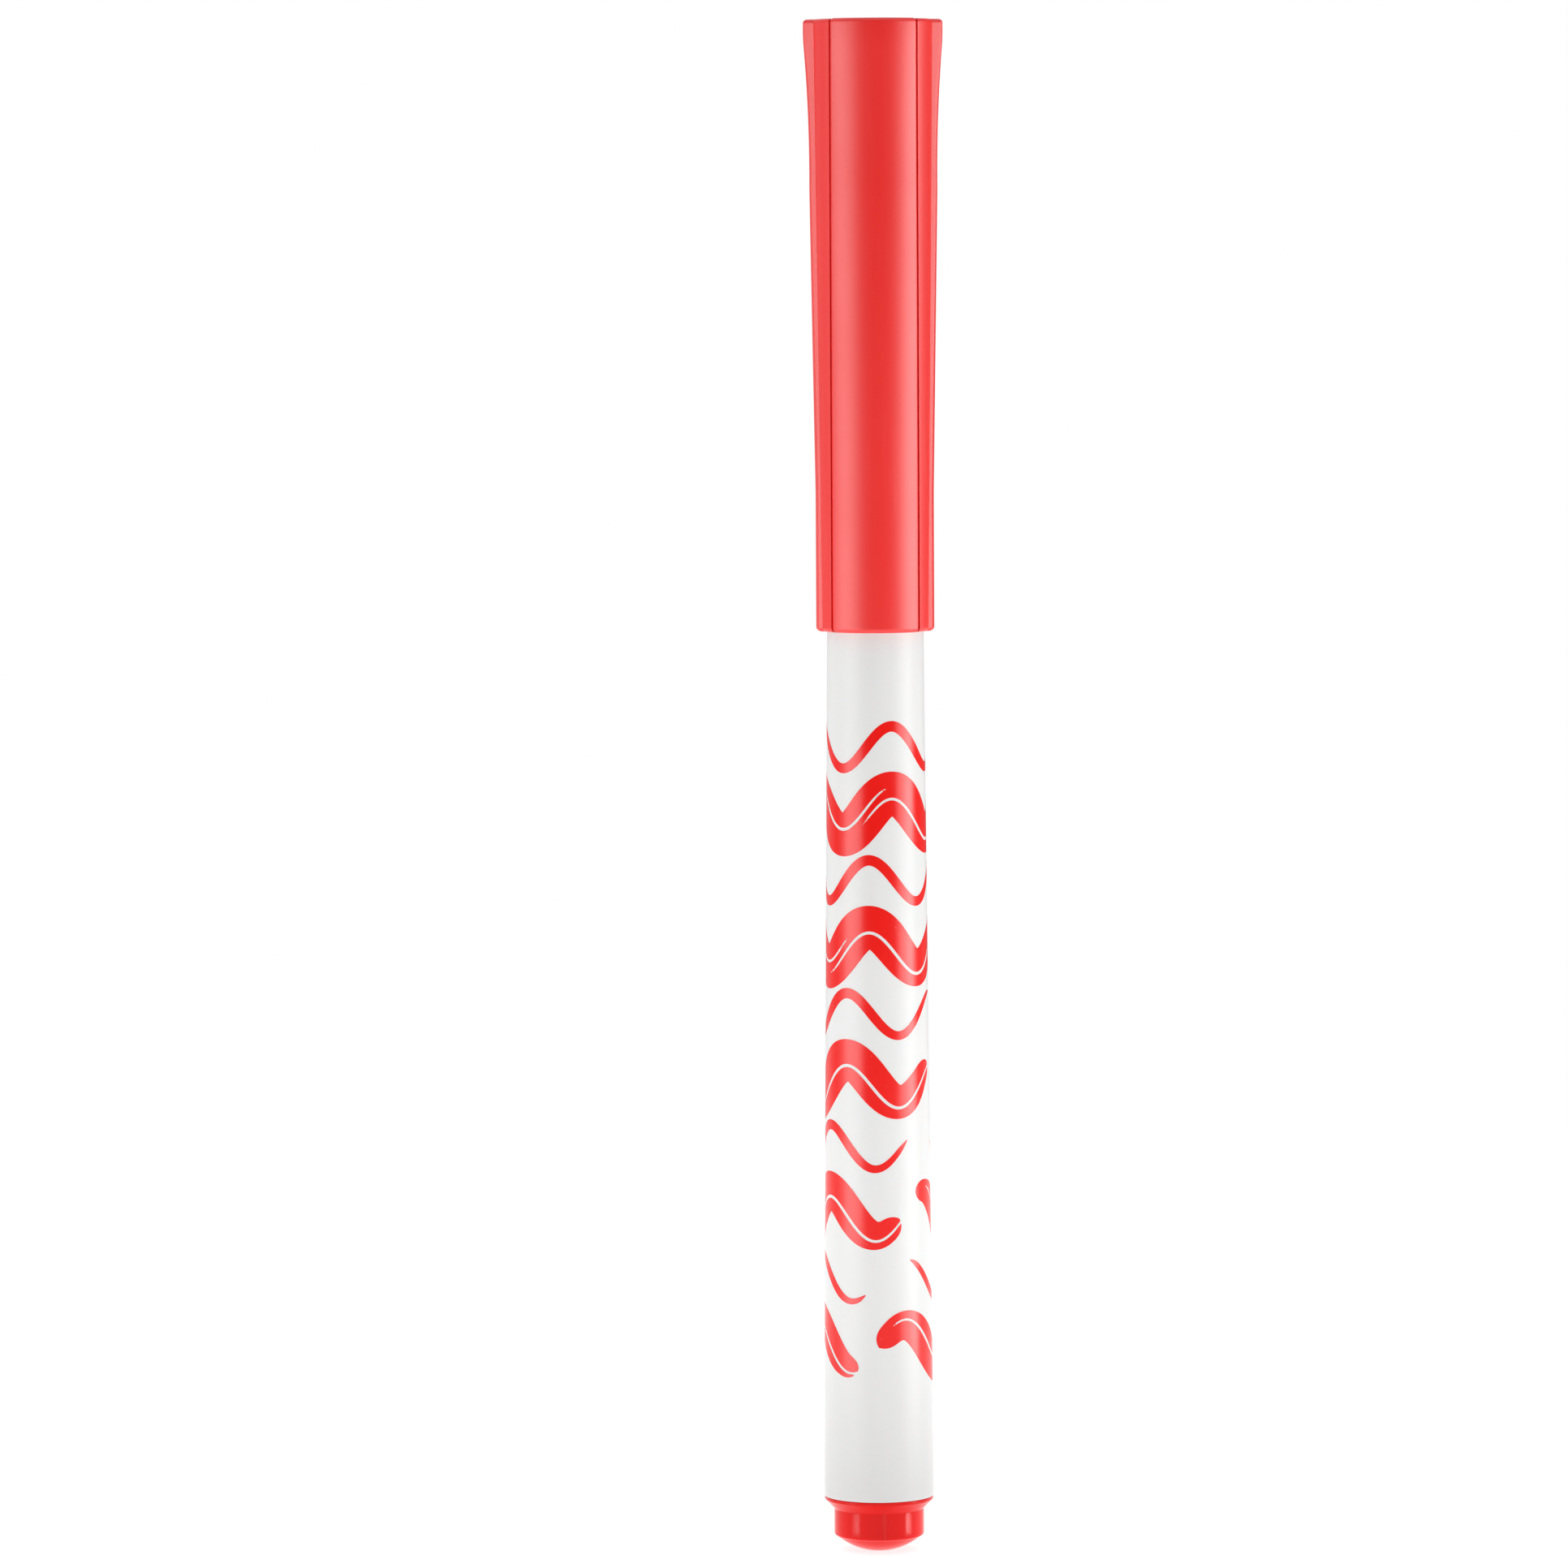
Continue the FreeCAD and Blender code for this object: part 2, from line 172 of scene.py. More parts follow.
class Shader(Graph):
    """A material's node tree, with the few steps that the finishes share."""

    def __init__(self, name: str) -> None:
        """Makes the material."""
        self.material = bpy.data.materials.new(name)
        self.material.use_nodes = True
        super().__init__(self.material.node_tree)

    def coordinates(self, scale: Sequence[float] = (1, 1, 1)) -> Wire:
        """Object coordinates in metres, stretched by scale."""
        place = self.add("ShaderNodeTexCoord", output="Object")
        return self.add("ShaderNodeMapping", {"vector_type": "POINT"},
                        {"Vector": place, "Scale": tuple(scale)})

    def noise(self, scale: float, detail: float = 3.0, stretch: Sequence[float] = (1, 1, 1),
              roughness: float = 0.5) -> Wire:
        """Noise from 0 to 1, with features about 1 / scale metres wide."""
        return self.add("ShaderNodeTexNoise", {"noise_dimensions": "3D"}, {
            "Vector": self.coordinates(stretch), "Scale": scale, "Detail": detail, "Roughness": roughness})

    def mix(self, factor: Any, first: Any, second: Any) -> Wire:
        """A colour between first and second."""
        colours = {6: first if isinstance(first, Wire) else (*first, 1.0),
                   7: second if isinstance(second, Wire) else (*second, 1.0)}
        return self.add("ShaderNodeMix", {"data_type": "RGBA"}, {0: factor, **colours}, output=2)

    def bump(self, height: Wire, depth: float) -> Wire:
        """A normal from a height of 0 to 1 that stands for a depth in metres."""
        return self.add("ShaderNodeBump", None, {"Height": height, "Distance": depth, "Strength": 1.0})

    def finish(self, varying: dict[str, Wire], constant: dict[str, Any]) -> bpy.types.Material:
        """Closes the tree with a Principled surface.

        Args:
            varying: wires into sockets that may change over the surface.
            constant: plain values of the other sockets.

        Returns:
            The material.
        """
        surface = self.add("ShaderNodeBsdfPrincipled", None, {**constant, **varying})
        self.add("ShaderNodeOutputMaterial", None, {"Surface": surface})
        return self.material


# ---------------------------------------------------------------- finishes


@dataclass(frozen=True)
class MouldedPlastic:
    """Injection-moulded polypropylene: flow marks along the pen, a faint skin texture and handling marks.

    The colour is a linear RGB value; the lengths are in metres.
    """

    name: str
    colour: Colour
    deep: Colour
    roughness: float
    gloss_variation: float = 0.06
    subsurface: float = 0.0
    subsurface_reach: float = 0.0008
    texture_size: float = 0.00035
    texture_depth: float = 0.0000012
    wear: float = 0.03
    specular: float = 0.5

    def material(self) -> bpy.types.Material:
        """Builds the material."""
        shader = Shader(self.name)
        flow = shader.noise(420.0, 2.0, (1, 1, 0.12))
        cloud = shader.noise(140.0, 3.0)
        skin = shader.noise(1 / self.texture_size, 2.0)
        rubs = shader.noise(900.0, 4.0, (1, 1, 0.06), 0.7).step(0.60, 0.78)
        tint = shader.mix(flow.step(0.35, 0.75) * 0.6 + cloud * 0.25, self.colour, self.deep)
        rubbed = shader.mix(rubs * self.wear, tint, (0.9, 0.85, 0.84))
        gloss = self.roughness + (cloud - 0.5) * self.gloss_variation + rubs * (self.wear * 1.5)
        normal = shader.bump(skin * 0.8 + rubs * 0.2, self.texture_depth)
        return shader.finish(
            {"Base Color": rubbed, "Roughness": gloss, "Normal": normal},
            {"Subsurface Weight": self.subsurface, "Subsurface Scale": self.subsurface_reach,
             "Subsurface Radius": (1.0, 0.35, 0.25), "IOR": 1.49, "Specular IOR Level": self.specular},
        )


@dataclass(frozen=True)
class PrintedInk:
    """Screen-printed ink on the barrel, a little thinner in places and with fine pinholes."""

    name: str
    colour: Colour
    thin: Colour
    roughness: float

    def material(self) -> bpy.types.Material:
        """Builds the material."""
        shader = Shader(self.name)
        drag = shader.noise(500.0, 3.0, (1, 1, 0.3))
        mesh_marks = shader.noise(6000.0, 1.0)
        pinholes = shader.noise(2600.0, 2.0).step(0.735, 0.78)
        film = shader.mix(drag.step(0.45, 0.8) * 0.35, self.colour, self.thin)
        colour = shader.mix(pinholes * 0.15, film, (0.8, 0.6, 0.58))
        return shader.finish(
            {"Base Color": colour, "Roughness": self.roughness + (drag - 0.5) * 0.08,
             "Normal": shader.bump(mesh_marks, 0.0000008)},
            {"IOR": 1.48, "Specular IOR Level": 0.45},
        )


@dataclass(frozen=True)
class InkedFibre:
    """Bonded fibre full of ink: streaks along the fibres, darker where they lie close, and a soft nap."""

    name: str
    colour: Colour
    dark: Colour
    pale: Colour
    streak: float = 9000.0
    depth: float = 0.00003

    def material(self) -> bpy.types.Material:
        """Builds the material."""
        shader = Shader(self.name)
        streaks = shader.noise(self.streak, 3.0, (1, 1, 0.07), 0.6)
        blots = shader.noise(700.0, 2.0)
        lint = shader.noise(self.streak * 0.6, 2.0, (1, 1, 0.25)).step(0.58, 0.75)
        ink = shader.mix(streaks.step(0.3, 0.7), self.dark, self.colour)
        mottled = shader.mix(blots.step(0.42, 0.7) * 0.45, ink, self.pale)
        colour = shader.mix(lint * 0.35, mottled, self.pale)
        return shader.finish(
            {"Base Color": colour, "Roughness": 0.72 + streaks * 0.2,
             "Normal": shader.bump(streaks, self.depth)},
            {"Sheen Weight": 0.08, "Sheen Roughness": 0.5, "Specular IOR Level": 0.3},
        )


@dataclass(frozen=True)
class WoundFilm:
    """Thin film round the filler, with the ink showing through it and its wound seam."""

    name: str
    colour: Colour
    ink: Colour

    def material(self) -> bpy.types.Material:
        """Builds the material."""
        shader = Shader(self.name)
        wick = shader.noise(600.0, 3.0, (1, 1, 0.1))
        colour = shader.mix(wick.step(0.3, 0.7) * 0.5, self.colour, self.ink)
        return shader.finish({"Base Color": colour, "Roughness": 0.3 + wick * 0.1}, {"IOR": 1.5})


class Finishes:
    """The materials of the marker, made once."""

    def __init__(self) -> None:
        """Builds every finish."""
        self.white = MouldedPlastic(
            "white_polypropylene", (0.765, 0.765, 0.755), (0.745, 0.745, 0.74),
            0.30, 0.06, 0.12, 0.0006, wear=0.0, specular=0.2).material()
        self.cap_red = MouldedPlastic(
            "red_cap_polypropylene", (0.87, 0.010, 0.007), (0.83, 0.009, 0.006),
            0.42, 0.05, 0.06, 0.0005, specular=0.95).material()
        self.plug_red = MouldedPlastic(
            "red_plug_polypropylene", (0.76, 0.005, 0.003), (0.72, 0.004, 0.003),
            0.15, 0.03, 0.05, 0.0005, specular=0.2).material()
        self.ink = PrintedInk("red_printed_ink", (0.82, 0.007, 0.004), (0.84, 0.018, 0.014), 0.24).material()
        self.nib = InkedFibre(
            "inked_nib_fibre", (0.50, 0.006, 0.012), (0.30, 0.003, 0.007), (0.62, 0.03, 0.04)).material()
        self.filler = InkedFibre(
            "inked_filler_fibre", (0.62, 0.03, 0.03), (0.45, 0.012, 0.015), (0.78, 0.35, 0.34),
            6000.0).material()
        self.film = WoundFilm("wound_film", (0.85, 0.80, 0.80), (0.70, 0.08, 0.08)).material()


# ---------------------------------------------------------------- meshes


class Outline:
    """A half outline of (radius, height) points, in millimetres, built run by run."""

    def __init__(self, radius: float, height: float, longest_step: float = 1.5) -> None:
        """Starts at a point."""
        self.points: list[Point] = [(radius, height)]
        self.longest_step = longest_step

    def to(self, radius: float, height: float) -> "Outline":
        """A straight run, divided so that no step is longer than longest_step."""
        r0, z0 = self.points[-1]
        steps = max(1, math.ceil(math.hypot(radius - r0, height - z0) / self.longest_step))
        self.points += [(r0 + (radius - r0) * k / steps, z0 + (height - z0) * k / steps)
                        for k in range(1, steps + 1)]
        return self

    def arc(self, radius: float, height: float, curve: float, side: int = 1, steps: int = 8) -> "Outline":
        """A short arc.

        Args:
            radius, height: where it ends.
            curve: the arc's own radius.
            side: +1 with its centre to the left of the way, -1 to the right.
            steps: the number of its chords.

        Returns:
            The outline itself.
        """
        (r0, z0), (dr, dz) = self.points[-1], (radius - self.points[-1][0], height - self.points[-1][1])
        half = math.hypot(dr, dz) / 2
        rise = math.sqrt(max(curve**2 - half**2, 0.0)) * side
        cr, cz = (r0 + radius) / 2 - dz / (2 * half) * rise, (z0 + height) / 2 + dr / (2 * half) * rise
        start = math.atan2(z0 - cz, r0 - cr)
        sweep = (math.atan2(height - cz, radius - cr) - start + math.pi) % TAU - math.pi
        turns = [start + sweep * k / steps for k in range(1, steps)]
        self.points += [(cr + curve * math.cos(a), cz + curve * math.sin(a)) for a in turns]
        self.points.append((radius, height))
        return self


def mesh_object(name: str, vertices: Any, faces: Iterable[Sequence[int]]) -> bpy.types.Object:
    """A new mesh object at the origin, from vertices in metres."""
    mesh = bpy.data.meshes.new(name)
    mesh.from_pydata([tuple(v) for v in vertices], [], [tuple(f) for f in faces])
    mesh.validate()
    piece = bpy.data.objects.new(name, mesh)
    bpy.context.scene.collection.objects.link(piece)
    return piece


def tidy_mesh(piece: bpy.types.Object, merge: float = 0.0) -> None:
    """Merges points that are closer than merge, in metres, and turns the faces outward."""
    bm = bmesh.new()
    bm.from_mesh(piece.data)
    if merge:
        bmesh.ops.remove_doubles(bm, verts=bm.verts, dist=merge)
        bmesh.ops.dissolve_degenerate(bm, edges=bm.edges, dist=merge)
    bmesh.ops.recalc_face_normals(bm, faces=bm.faces)
    bm.to_mesh(piece.data)
    bm.free()


def smooth(piece: bpy.types.Object, angle: float = 32.0) -> None:
    """Smooth shading, with edges sharper than angle kept sharp."""
    piece.data.shade_smooth()
    piece.data.set_sharp_from_angle(angle=math.radians(angle))


def baked(piece: bpy.types.Object) -> None:
    """Turns the result of the modifiers into the piece's own mesh."""
    graph = bpy.context.evaluated_depsgraph_get()
    mesh = bpy.data.meshes.new_from_object(
        piece.evaluated_get(graph), preserve_all_data_layers=True, depsgraph=graph)
    piece.modifiers.clear()
    piece.data = mesh


def cut_away(piece: bpy.types.Object, cutters: Sequence[bpy.types.Object]) -> None:
    """Subtracts closed meshes from a piece and removes them."""
    for cutter in cutters:
        modifier = piece.modifiers.new("cut", "BOOLEAN")
        modifier.operation = "DIFFERENCE"
        modifier.solver = "EXACT"
        modifier.object = cutter
    bpy.context.view_layer.update()
    baked(piece)
    for cutter in cutters:
        bpy.data.objects.remove(cutter)


class GeometryTree(Graph):
    """A Geometry Nodes tree with named inputs, put on one piece and applied."""

    def __init__(self, name: str) -> None:
        """Makes the tree with its geometry input and output."""
        super().__init__(bpy.data.node_groups.new(name, "GeometryNodeTree"))
        self.tree.interface.new_socket("Geometry", in_out="INPUT", socket_type="NodeSocketGeometry")
        self.tree.interface.new_socket("Geometry", in_out="OUTPUT", socket_type="NodeSocketGeometry")
        self.group = self.add("NodeGroupInput")
        self.values: dict[str, Any] = {}

    def input(self, name: str, kind: str, value: Any) -> Wire:
        """A named input of the tree, with the value that this piece gives it."""
        socket = self.tree.interface.new_socket(name, in_out="INPUT", socket_type=f"NodeSocket{kind}")
        self.values[socket.identifier] = value
        return Wire(self, self.group.node.outputs[name])

    def geometry(self) -> Wire:
        """The geometry that comes in."""
        return Wire(self, self.group.node.outputs["Geometry"])

    def apply_to(self, piece: bpy.types.Object, result: Wire, material: bpy.types.Material) -> None:
        """Ends the tree with Realize Instances and Set Material, and applies it to the piece."""
        whole = self.add("GeometryNodeRealizeInstances", None, {"Geometry": result})
        finish = self.input("Finish", "Material", material)
        dressed = self.add("GeometryNodeSetMaterial", None, {"Geometry": whole, "Material": finish})
        self.add("NodeGroupOutput", None, {"Geometry": dressed})
        modifier = piece.modifiers.new("nodes", "NODES")
        modifier.node_group = self.tree
        for identifier, value in self.values.items():
            modifier[identifier] = value
        bpy.context.view_layer.update()
        baked(piece)


def turned(name: str, outline: Outline, segments: int, material: bpy.types.Material,
           closed: bool = False) -> bpy.types.Object:
    """A piece of revolution, made by a Geometry Nodes lathe.

    Args:
        name: the piece's name.
        outline: its half outline.
        segments: columns round the axis.
        material: its finish.
        closed: whether the outline's end joins its start, as on a tube.

    Returns:
        The piece.
    """
    points = outline.points + ([outline.points[0]] if closed else [])
    piece = mesh_object(name, [(r * MM, 0.0, z * MM) for r, z in points], [])
    lathe = GeometryTree(f"{name}_lathe")
    rows = lathe.input("Rows", "Int", len(points))
    columns = lathe.input("Columns", "Int", segments + 1)
    turn = lathe.input("Column Turn", "Float", TAU / segments)
    grid = lathe.add("GeometryNodeMeshGrid", None, {"Vertices X": rows, "Vertices Y": columns},
                     output="Mesh")
    index = lathe.add("GeometryNodeInputIndex")
    row = lathe.add("ShaderNodeMath", {"operation": "FLOOR"}, {0: (index + 0.5) / columns})
    column = index - row * columns
    place = lathe.add("GeometryNodeInputPosition")
    sampled = lathe.add("GeometryNodeSampleIndex", {"data_type": "FLOAT_VECTOR", "domain": "POINT"}, {
        "Geometry": lathe.geometry(), "Value": place, "Index": row})
    spun = lathe.add("ShaderNodeVectorRotate", {"rotation_type": "Z_AXIS"},
                     {"Vector": sampled, "Angle": column * turn})
    moved = lathe.add("GeometryNodeSetPosition", None, {"Geometry": grid, "Position": spun})
    merged = lathe.add("GeometryNodeMergeByDistance", None, {"Geometry": moved, "Distance": 1e-6})
    lathe.apply_to(piece, merged, material)
    tidy_mesh(piece, 1e-7)
    return piece


# ---------------------------------------------------------------- pieces


@dataclass
class Part:
    """A sub-assembly: it knows its body and reports what it has made."""

    finishes: Finishes

    def register(self, piece: bpy.types.Object, body: Body, slot: Slot, *replaced: str) -> bpy.types.Object:
        """Rides a piece on its body and hides what it stands for.

        Args:
            piece: the finished piece.
            body: the body that it moves with.
            slot: not used.
            replaced: CAD nodes that it stands for.

        Returns:
            The piece.
        """
        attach(piece, body.value)
        for node in replaced:
            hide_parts(node)
        LOG.info("%s: %d faces on %s", piece.name, len(piece.data.polygons), body.value)
        return piece


@dataclass
class Barrel(Part):
    """Barrel, section, shoulder, collar and vent sleeve in one moulding. Sizes in millimetres."""

    rear: float = 5.2
    rear_radius: float = 5.23
    step: float = 87.85
    front_radius: float = 4.55
    section_radius: float = 4.21
    section_end_radius: float = 4.07
    shoulder: float = 122.0
    shoulder_radius: float = 3.86
    collar_foot: float = 123.8
    collar_foot_radius: float = 3.02
    collar_bottom: float = 124.3
    collar_radius: float = 2.84
    collar_top: float = 127.85
    sleeve_radius: float = 2.33
    sleeve_tip_radius: float = 2.27
    sleeve_top: float = 134.4
    grip_radius: float = 1.38
    chamber_radius: float = 1.8
    chamber_bottom: float = 122.6
    chamber_top: float = 131.4
    feed_radius: float = 1.45
    bore_end: float = 119.2
    bore_end_radius: float = 3.45
    bore_start: float = 13.2
    bore_radius: float = 3.95
    seat_end: float = 12.5
    seat_radius: float = 4.3
    slot_turn: float = 34.5
    slot_width: float = 1.2
    slot_bottom: float = 128.0
    slot_height: float = 3.0
    slot_reach: tuple[float, float] = (1.6, 3.0)
    slots: int = 3
    segments: int = 160

    def outside(self, height: float) -> float:
        """The barrel's radius at a height, in millimetres."""
        run = (height - self.rear) / (self.step - self.rear)
        return self.rear_radius + (self.front_radius - self.rear_radius) * run

    def outline(self) -> Outline:
        """The closed half outline: up the outside to the sleeve's mouth, and back down the bore."""
        line = Outline(self.seat_radius, self.rear, 1.2)
        line.to(self.rear_radius - 0.12, self.rear).arc(self.rear_radius, self.rear + 0.12, 0.12)
        line.to(self.outside(self.rear + 0.4), self.rear + 0.4)
        line.to(self.outside(self.step - 0.5), self.step - 0.5).to(self.front_radius, self.step - 0.2)
        line.arc(self.front_radius - 0.2, self.step, 0.2)
        line.to(self.section_radius + 0.08, self.step)
        line.arc(self.section_radius, self.step + 0.08, 0.08, -1, 4)
        line.to(self.section_radius, self.step + 0.4)
        line.to(self.section_end_radius, self.shoulder)
        line.arc(self.shoulder_radius, self.shoulder + 0.8, 0.9)
        line.to(self.collar_foot_radius, self.collar_foot)
        line.arc(self.collar_radius, self.collar_bottom, 0.75, -1)
        line.to(self.collar_radius, self.collar_top - 0.35)
        line.arc(self.collar_radius - 0.35, self.collar_top, 0.35)
        line.to(self.sleeve_radius + 0.06, self.collar_top)
        line.arc(self.sleeve_radius, self.collar_top + 0.06, 0.06, -1, 3)
        line.to(self.sleeve_tip_radius, self.sleeve_top - 0.3)
        line.arc(self.sleeve_tip_radius - 0.3, self.sleeve_top, 0.3)
        line.to(self.grip_radius + 0.08, self.sleeve_top)
        line.arc(self.grip_radius, self.sleeve_top - 0.08, 0.08, 1, 4)
        line.to(self.grip_radius, self.chamber_top).to(self.chamber_radius, self.chamber_top)
        line.to(self.chamber_radius, self.chamber_bottom).to(self.feed_radius, self.chamber_bottom)
        line.to(self.feed_radius, self.bore_end).to(self.bore_end_radius, self.bore_end)
        line.to(self.bore_radius, self.bore_start).to(self.seat_radius, self.seat_end)
        return line.to(self.seat_radius, self.rear + 0.2)

    def slot_cutter(self, number: int) -> bpy.types.Object:
        """A box with rounded corners that cuts one vent slot."""
        half, corner, steps = self.slot_width / 2, 0.12, 4
        ring: list[Point] = []
        centre_z = self.slot_bottom + self.slot_height / 2
        for quarter, (sx, sz) in enumerate(((1, 1), (-1, 1), (-1, -1), (1, -1))):
            for k in range(steps + 1):
                angle = (quarter + k / steps) * math.pi / 2
                ring.append((sx * (half - corner) + corner * math.cos(angle),
                             centre_z + sz * (self.slot_height / 2 - corner) + corner * math.sin(angle)))
        turn = math.radians(self.slot_turn + number * 360 / self.slots)
        along, across = (math.sin(turn), -math.cos(turn)), (math.cos(turn), math.sin(turn))
        vertices = [
            ((reach * along[0] + x * across[0]) * MM, (reach * along[1] + x * across[1]) * MM, z * MM)
            for reach in self.slot_reach for x, z in ring]
        count = len(ring)
        faces = [(k, (k + 1) % count, count + (k + 1) % count, count + k) for k in range(count)]
        faces += [tuple(range(count))[::-1], tuple(range(count, 2 * count))]
        cutter = mesh_object(f"slot_cutter_{number}", vertices, faces)
        tidy_mesh(cutter)
        return cutter

    def build(self) -> None:
        """Makes the moulding and cuts its vent slots."""
        shell = turned("barrel_shell", self.outline(), self.segments, self.finishes.white, closed=True)
        cut_away(shell, [self.slot_cutter(n) for n in range(self.slots)])
        smooth(shell)
        self.register(shell, Body.PEN, Slot.WHITE, "barrel")


@dataclass(frozen=True)
class Stroke:
    """A brush stroke on the unrolled barrel: a smooth path whose width changes.

    Each stop is (distance round the barrel from the front, height, half width), in millimetres.
    """

    stops: tuple[tuple[float, float, float], ...]
    samples: int = 14

    def discs(self) -> np.ndarray:
        """The stroke as a row of discs along a Catmull-Rom curve, an array of (u, z, radius)."""
        stops = np.array(self.stops)
        padded = np.vstack([2 * stops[0] - stops[1], stops, 2 * stops[-1] - stops[-2]])
        t = np.linspace(0, 1, self.samples, endpoint=False)[:, None]
        rows = []
        for a, b, c, d in zip(padded, padded[1:], padded[2:], padded[3:]):
            bend, twist = 2 * a - 5 * b + 4 * c - d, 3 * b - a - 3 * c + d
            rows.append(0.5 * (2 * b + (c - a) * t + bend * t**2 + twist * t**3))
        return np.vstack([*rows, stops[-1:]])


@dataclass
class BarrelPrint(Part):
    """A plain pattern of wavy brush strokes, repeated evenly up the barrel. Sizes in millimetres."""

    barrel: Barrel = None
    bottom: float = 12.0
    top: float = 80.5
    columns: int = 216
    pitch: float = 0.15
    lift: float = 0.014
    thickness: float = 0.02
    reference_radius: float = 4.9
    bands: int = 5
    lowest: float = 20.0
    spacing: float = 12.6
    waves: int = 3
    rise: float = 2.0
    band_shift: float = 1.1
    stagger: float = 4.1
    broad: float = 2.05
    fine: float = 0.5
    slit: float = 0.15
    slit_lane: float = 0.55
    mark_points: int = 40
    taper: float = 0.3
    hair: float = 0.05
    least_share: float = 0.02

    def mark(self, band: int, lane: float, width: float, span: tuple[float, float]) -> Stroke:
        """Part of a wave round the barrel, drawn as one pull of a brush with blunt ends.

        Args:
            band: which wave it lies on, counted from the bottom.
            lane: how far above the wave's line it runs.
            width: half its breadth where it is broadest.
            span: where it starts and ends, as shares of the way round.

        Returns:
            The stroke.
        """
        start, end = span
        points = []
        for k in range(self.mark_points + 1):
            along = k / self.mark_points
            turn = start + (end - start) * along
            swing = TAU * self.waves * turn + band * self.band_shift
            height = self.lowest + band * self.spacing + lane + self.rise * math.sin(swing)
            swell = max(math.sin(math.pi * along), 0.0) ** self.taper
            distance_round = TAU * self.reference_radius * turn + band * self.stagger
            points.append((distance_round, height, max(width * swell, self.hair)))
        return Stroke(tuple(points))

    def marks(self, lane: float, width: float, span: tuple[float, float]) -> list[Stroke]:
        """The same mark on every wave."""
        return [self.mark(band, lane, width, span) for band in range(self.bands)]

    def painted(self) -> list[Stroke]:
        """The strokes of ink: broad waves and fine ones between them, evenly spaced up the barrel."""
        broad = self.marks(0.0, self.broad, (0.0, 0.93))
        return broad + self.marks(self.spacing / 2, self.fine, (0.1, 0.96))

    def bare(self) -> list[Stroke]:
        """The slits of bare plastic that the brush's hairs leave along the broad strokes."""
        upper = self.marks(self.slit_lane, self.slit, (0.04, 0.5))
        return upper + self.marks(-self.slit_lane, self.slit, (0.42, 0.97))

    def distance(self, u: np.ndarray, z: np.ndarray, strokes: Sequence[Stroke]) -> np.ndarray:
        """Distance to the nearest stroke's edge over a grid, negative inside it."""
        round_trip = TAU * self.reference_radius
        field_values = np.full(u.shape, 9.0)
        for stroke in strokes:
            for centre_u, centre_z, radius in stroke.discs():
                rows = np.abs(z[:, 0] - centre_z) < radius + 0.6
                du = (u[rows] - centre_u + round_trip / 2) % round_trip - round_trip / 2
                reach = np.hypot(du, z[rows] - centre_z) - radius
                field_values[rows] = np.minimum(field_values[rows], reach)
        return field_values

    def film(self, ink: np.ndarray, u: np.ndarray, z: np.ndarray) -> tuple[list[Point], list[list[int]]]:
        """The ink's outline cut from the grid, cell by cell.

        Args:
            ink: the distance field, negative in the ink.
            u: each grid point's distance round the barrel.
            z: each grid point's height.

        Returns:
            The points (u, z) and the faces of a flat film.
        """
        columns = ink.shape[1]
        points: list[Point] = []
        known: dict[tuple, int] = {}
        faces: list[list[int]] = []
        round_trip = TAU * self.reference_radius

        def point(key: tuple, place: Point) -> int:
            """The number of a point, made on first use."""
            if key not in known:
                known[key] = len(points)
                points.append(place)
            return known[key]

        inside = ink < 0
        touched = inside[:-1] | inside[1:] | np.roll(inside, -1, 1)[:-1] | np.roll(inside, -1, 1)[1:]
        for row, column in zip(*np.nonzero(touched)):
            following = (column + 1) % columns
            corners = ((row, column), (row, following), (row + 1, following), (row + 1, column))
            face = []
            for start, end in zip(corners, corners[1:] + corners[:1]):
                a, b = ink[start], ink[end]
                if a < 0:
                    face.append(point(start, (u[start], z[start])))
                if (a < 0) != (b < 0):
                    near, far = (a, b) if start < end else (b, a)
                    share = min(max(near / (near - far), self.least_share), 1 - self.least_share)
                    share = share if start < end else 1 - share
                    reach = u[end] - u[start]
                    reach -= round_trip * round(reach / round_trip)
                    place = (u[start] + reach * share, z[start] + (z[end] - z[start]) * share)
                    face.append(point((min(start, end), max(start, end)), place))
            if len(face) > 2:
                faces.append(face)
        return points, faces

    def build(self) -> None:
        """Makes the film of ink and wraps it round the barrel."""
        rows = round((self.top - self.bottom) / self.pitch)
        round_trip = TAU * self.reference_radius
        across = np.arange(self.columns) * round_trip / self.columns
        u, z = np.meshgrid(across, self.bottom + np.arange(rows) * self.pitch)
        ink = np.maximum(self.distance(u, z, self.painted()), -self.distance(u, z, self.bare()))
        points, faces = self.film(ink, u, z)
        vertices = []
        for height_above in (self.lift, self.lift - self.thickness):
            for distance_round, height in points:
                angle = distance_round / self.reference_radius
                radius = self.barrel.outside(height) + height_above
                vertices.append((radius * math.sin(angle) * MM, -radius * math.cos(angle) * MM, height * MM))
        count = len(points)
        edges: dict[tuple[int, int], int] = {}
        for face in faces:
            for a, b in zip(face, face[1:] + face[:1]):
                edges[(a, b)] = edges.get((a, b), 0) + 1
        rim = [(b, a, a + count, b + count) for a, b in edges if (b, a) not in edges]
        back = [[k + count for k in reversed(face)] for face in faces]
        print_film = mesh_object("barrel_print", vertices, [*faces, *back, *rim])
        tidy_mesh(print_film, 1e-7)
        smooth(print_film, 50)
        print_film.data.materials.append(self.finishes.ink)
        self.register(print_film, Body.PEN, Slot.PLUG_RED)


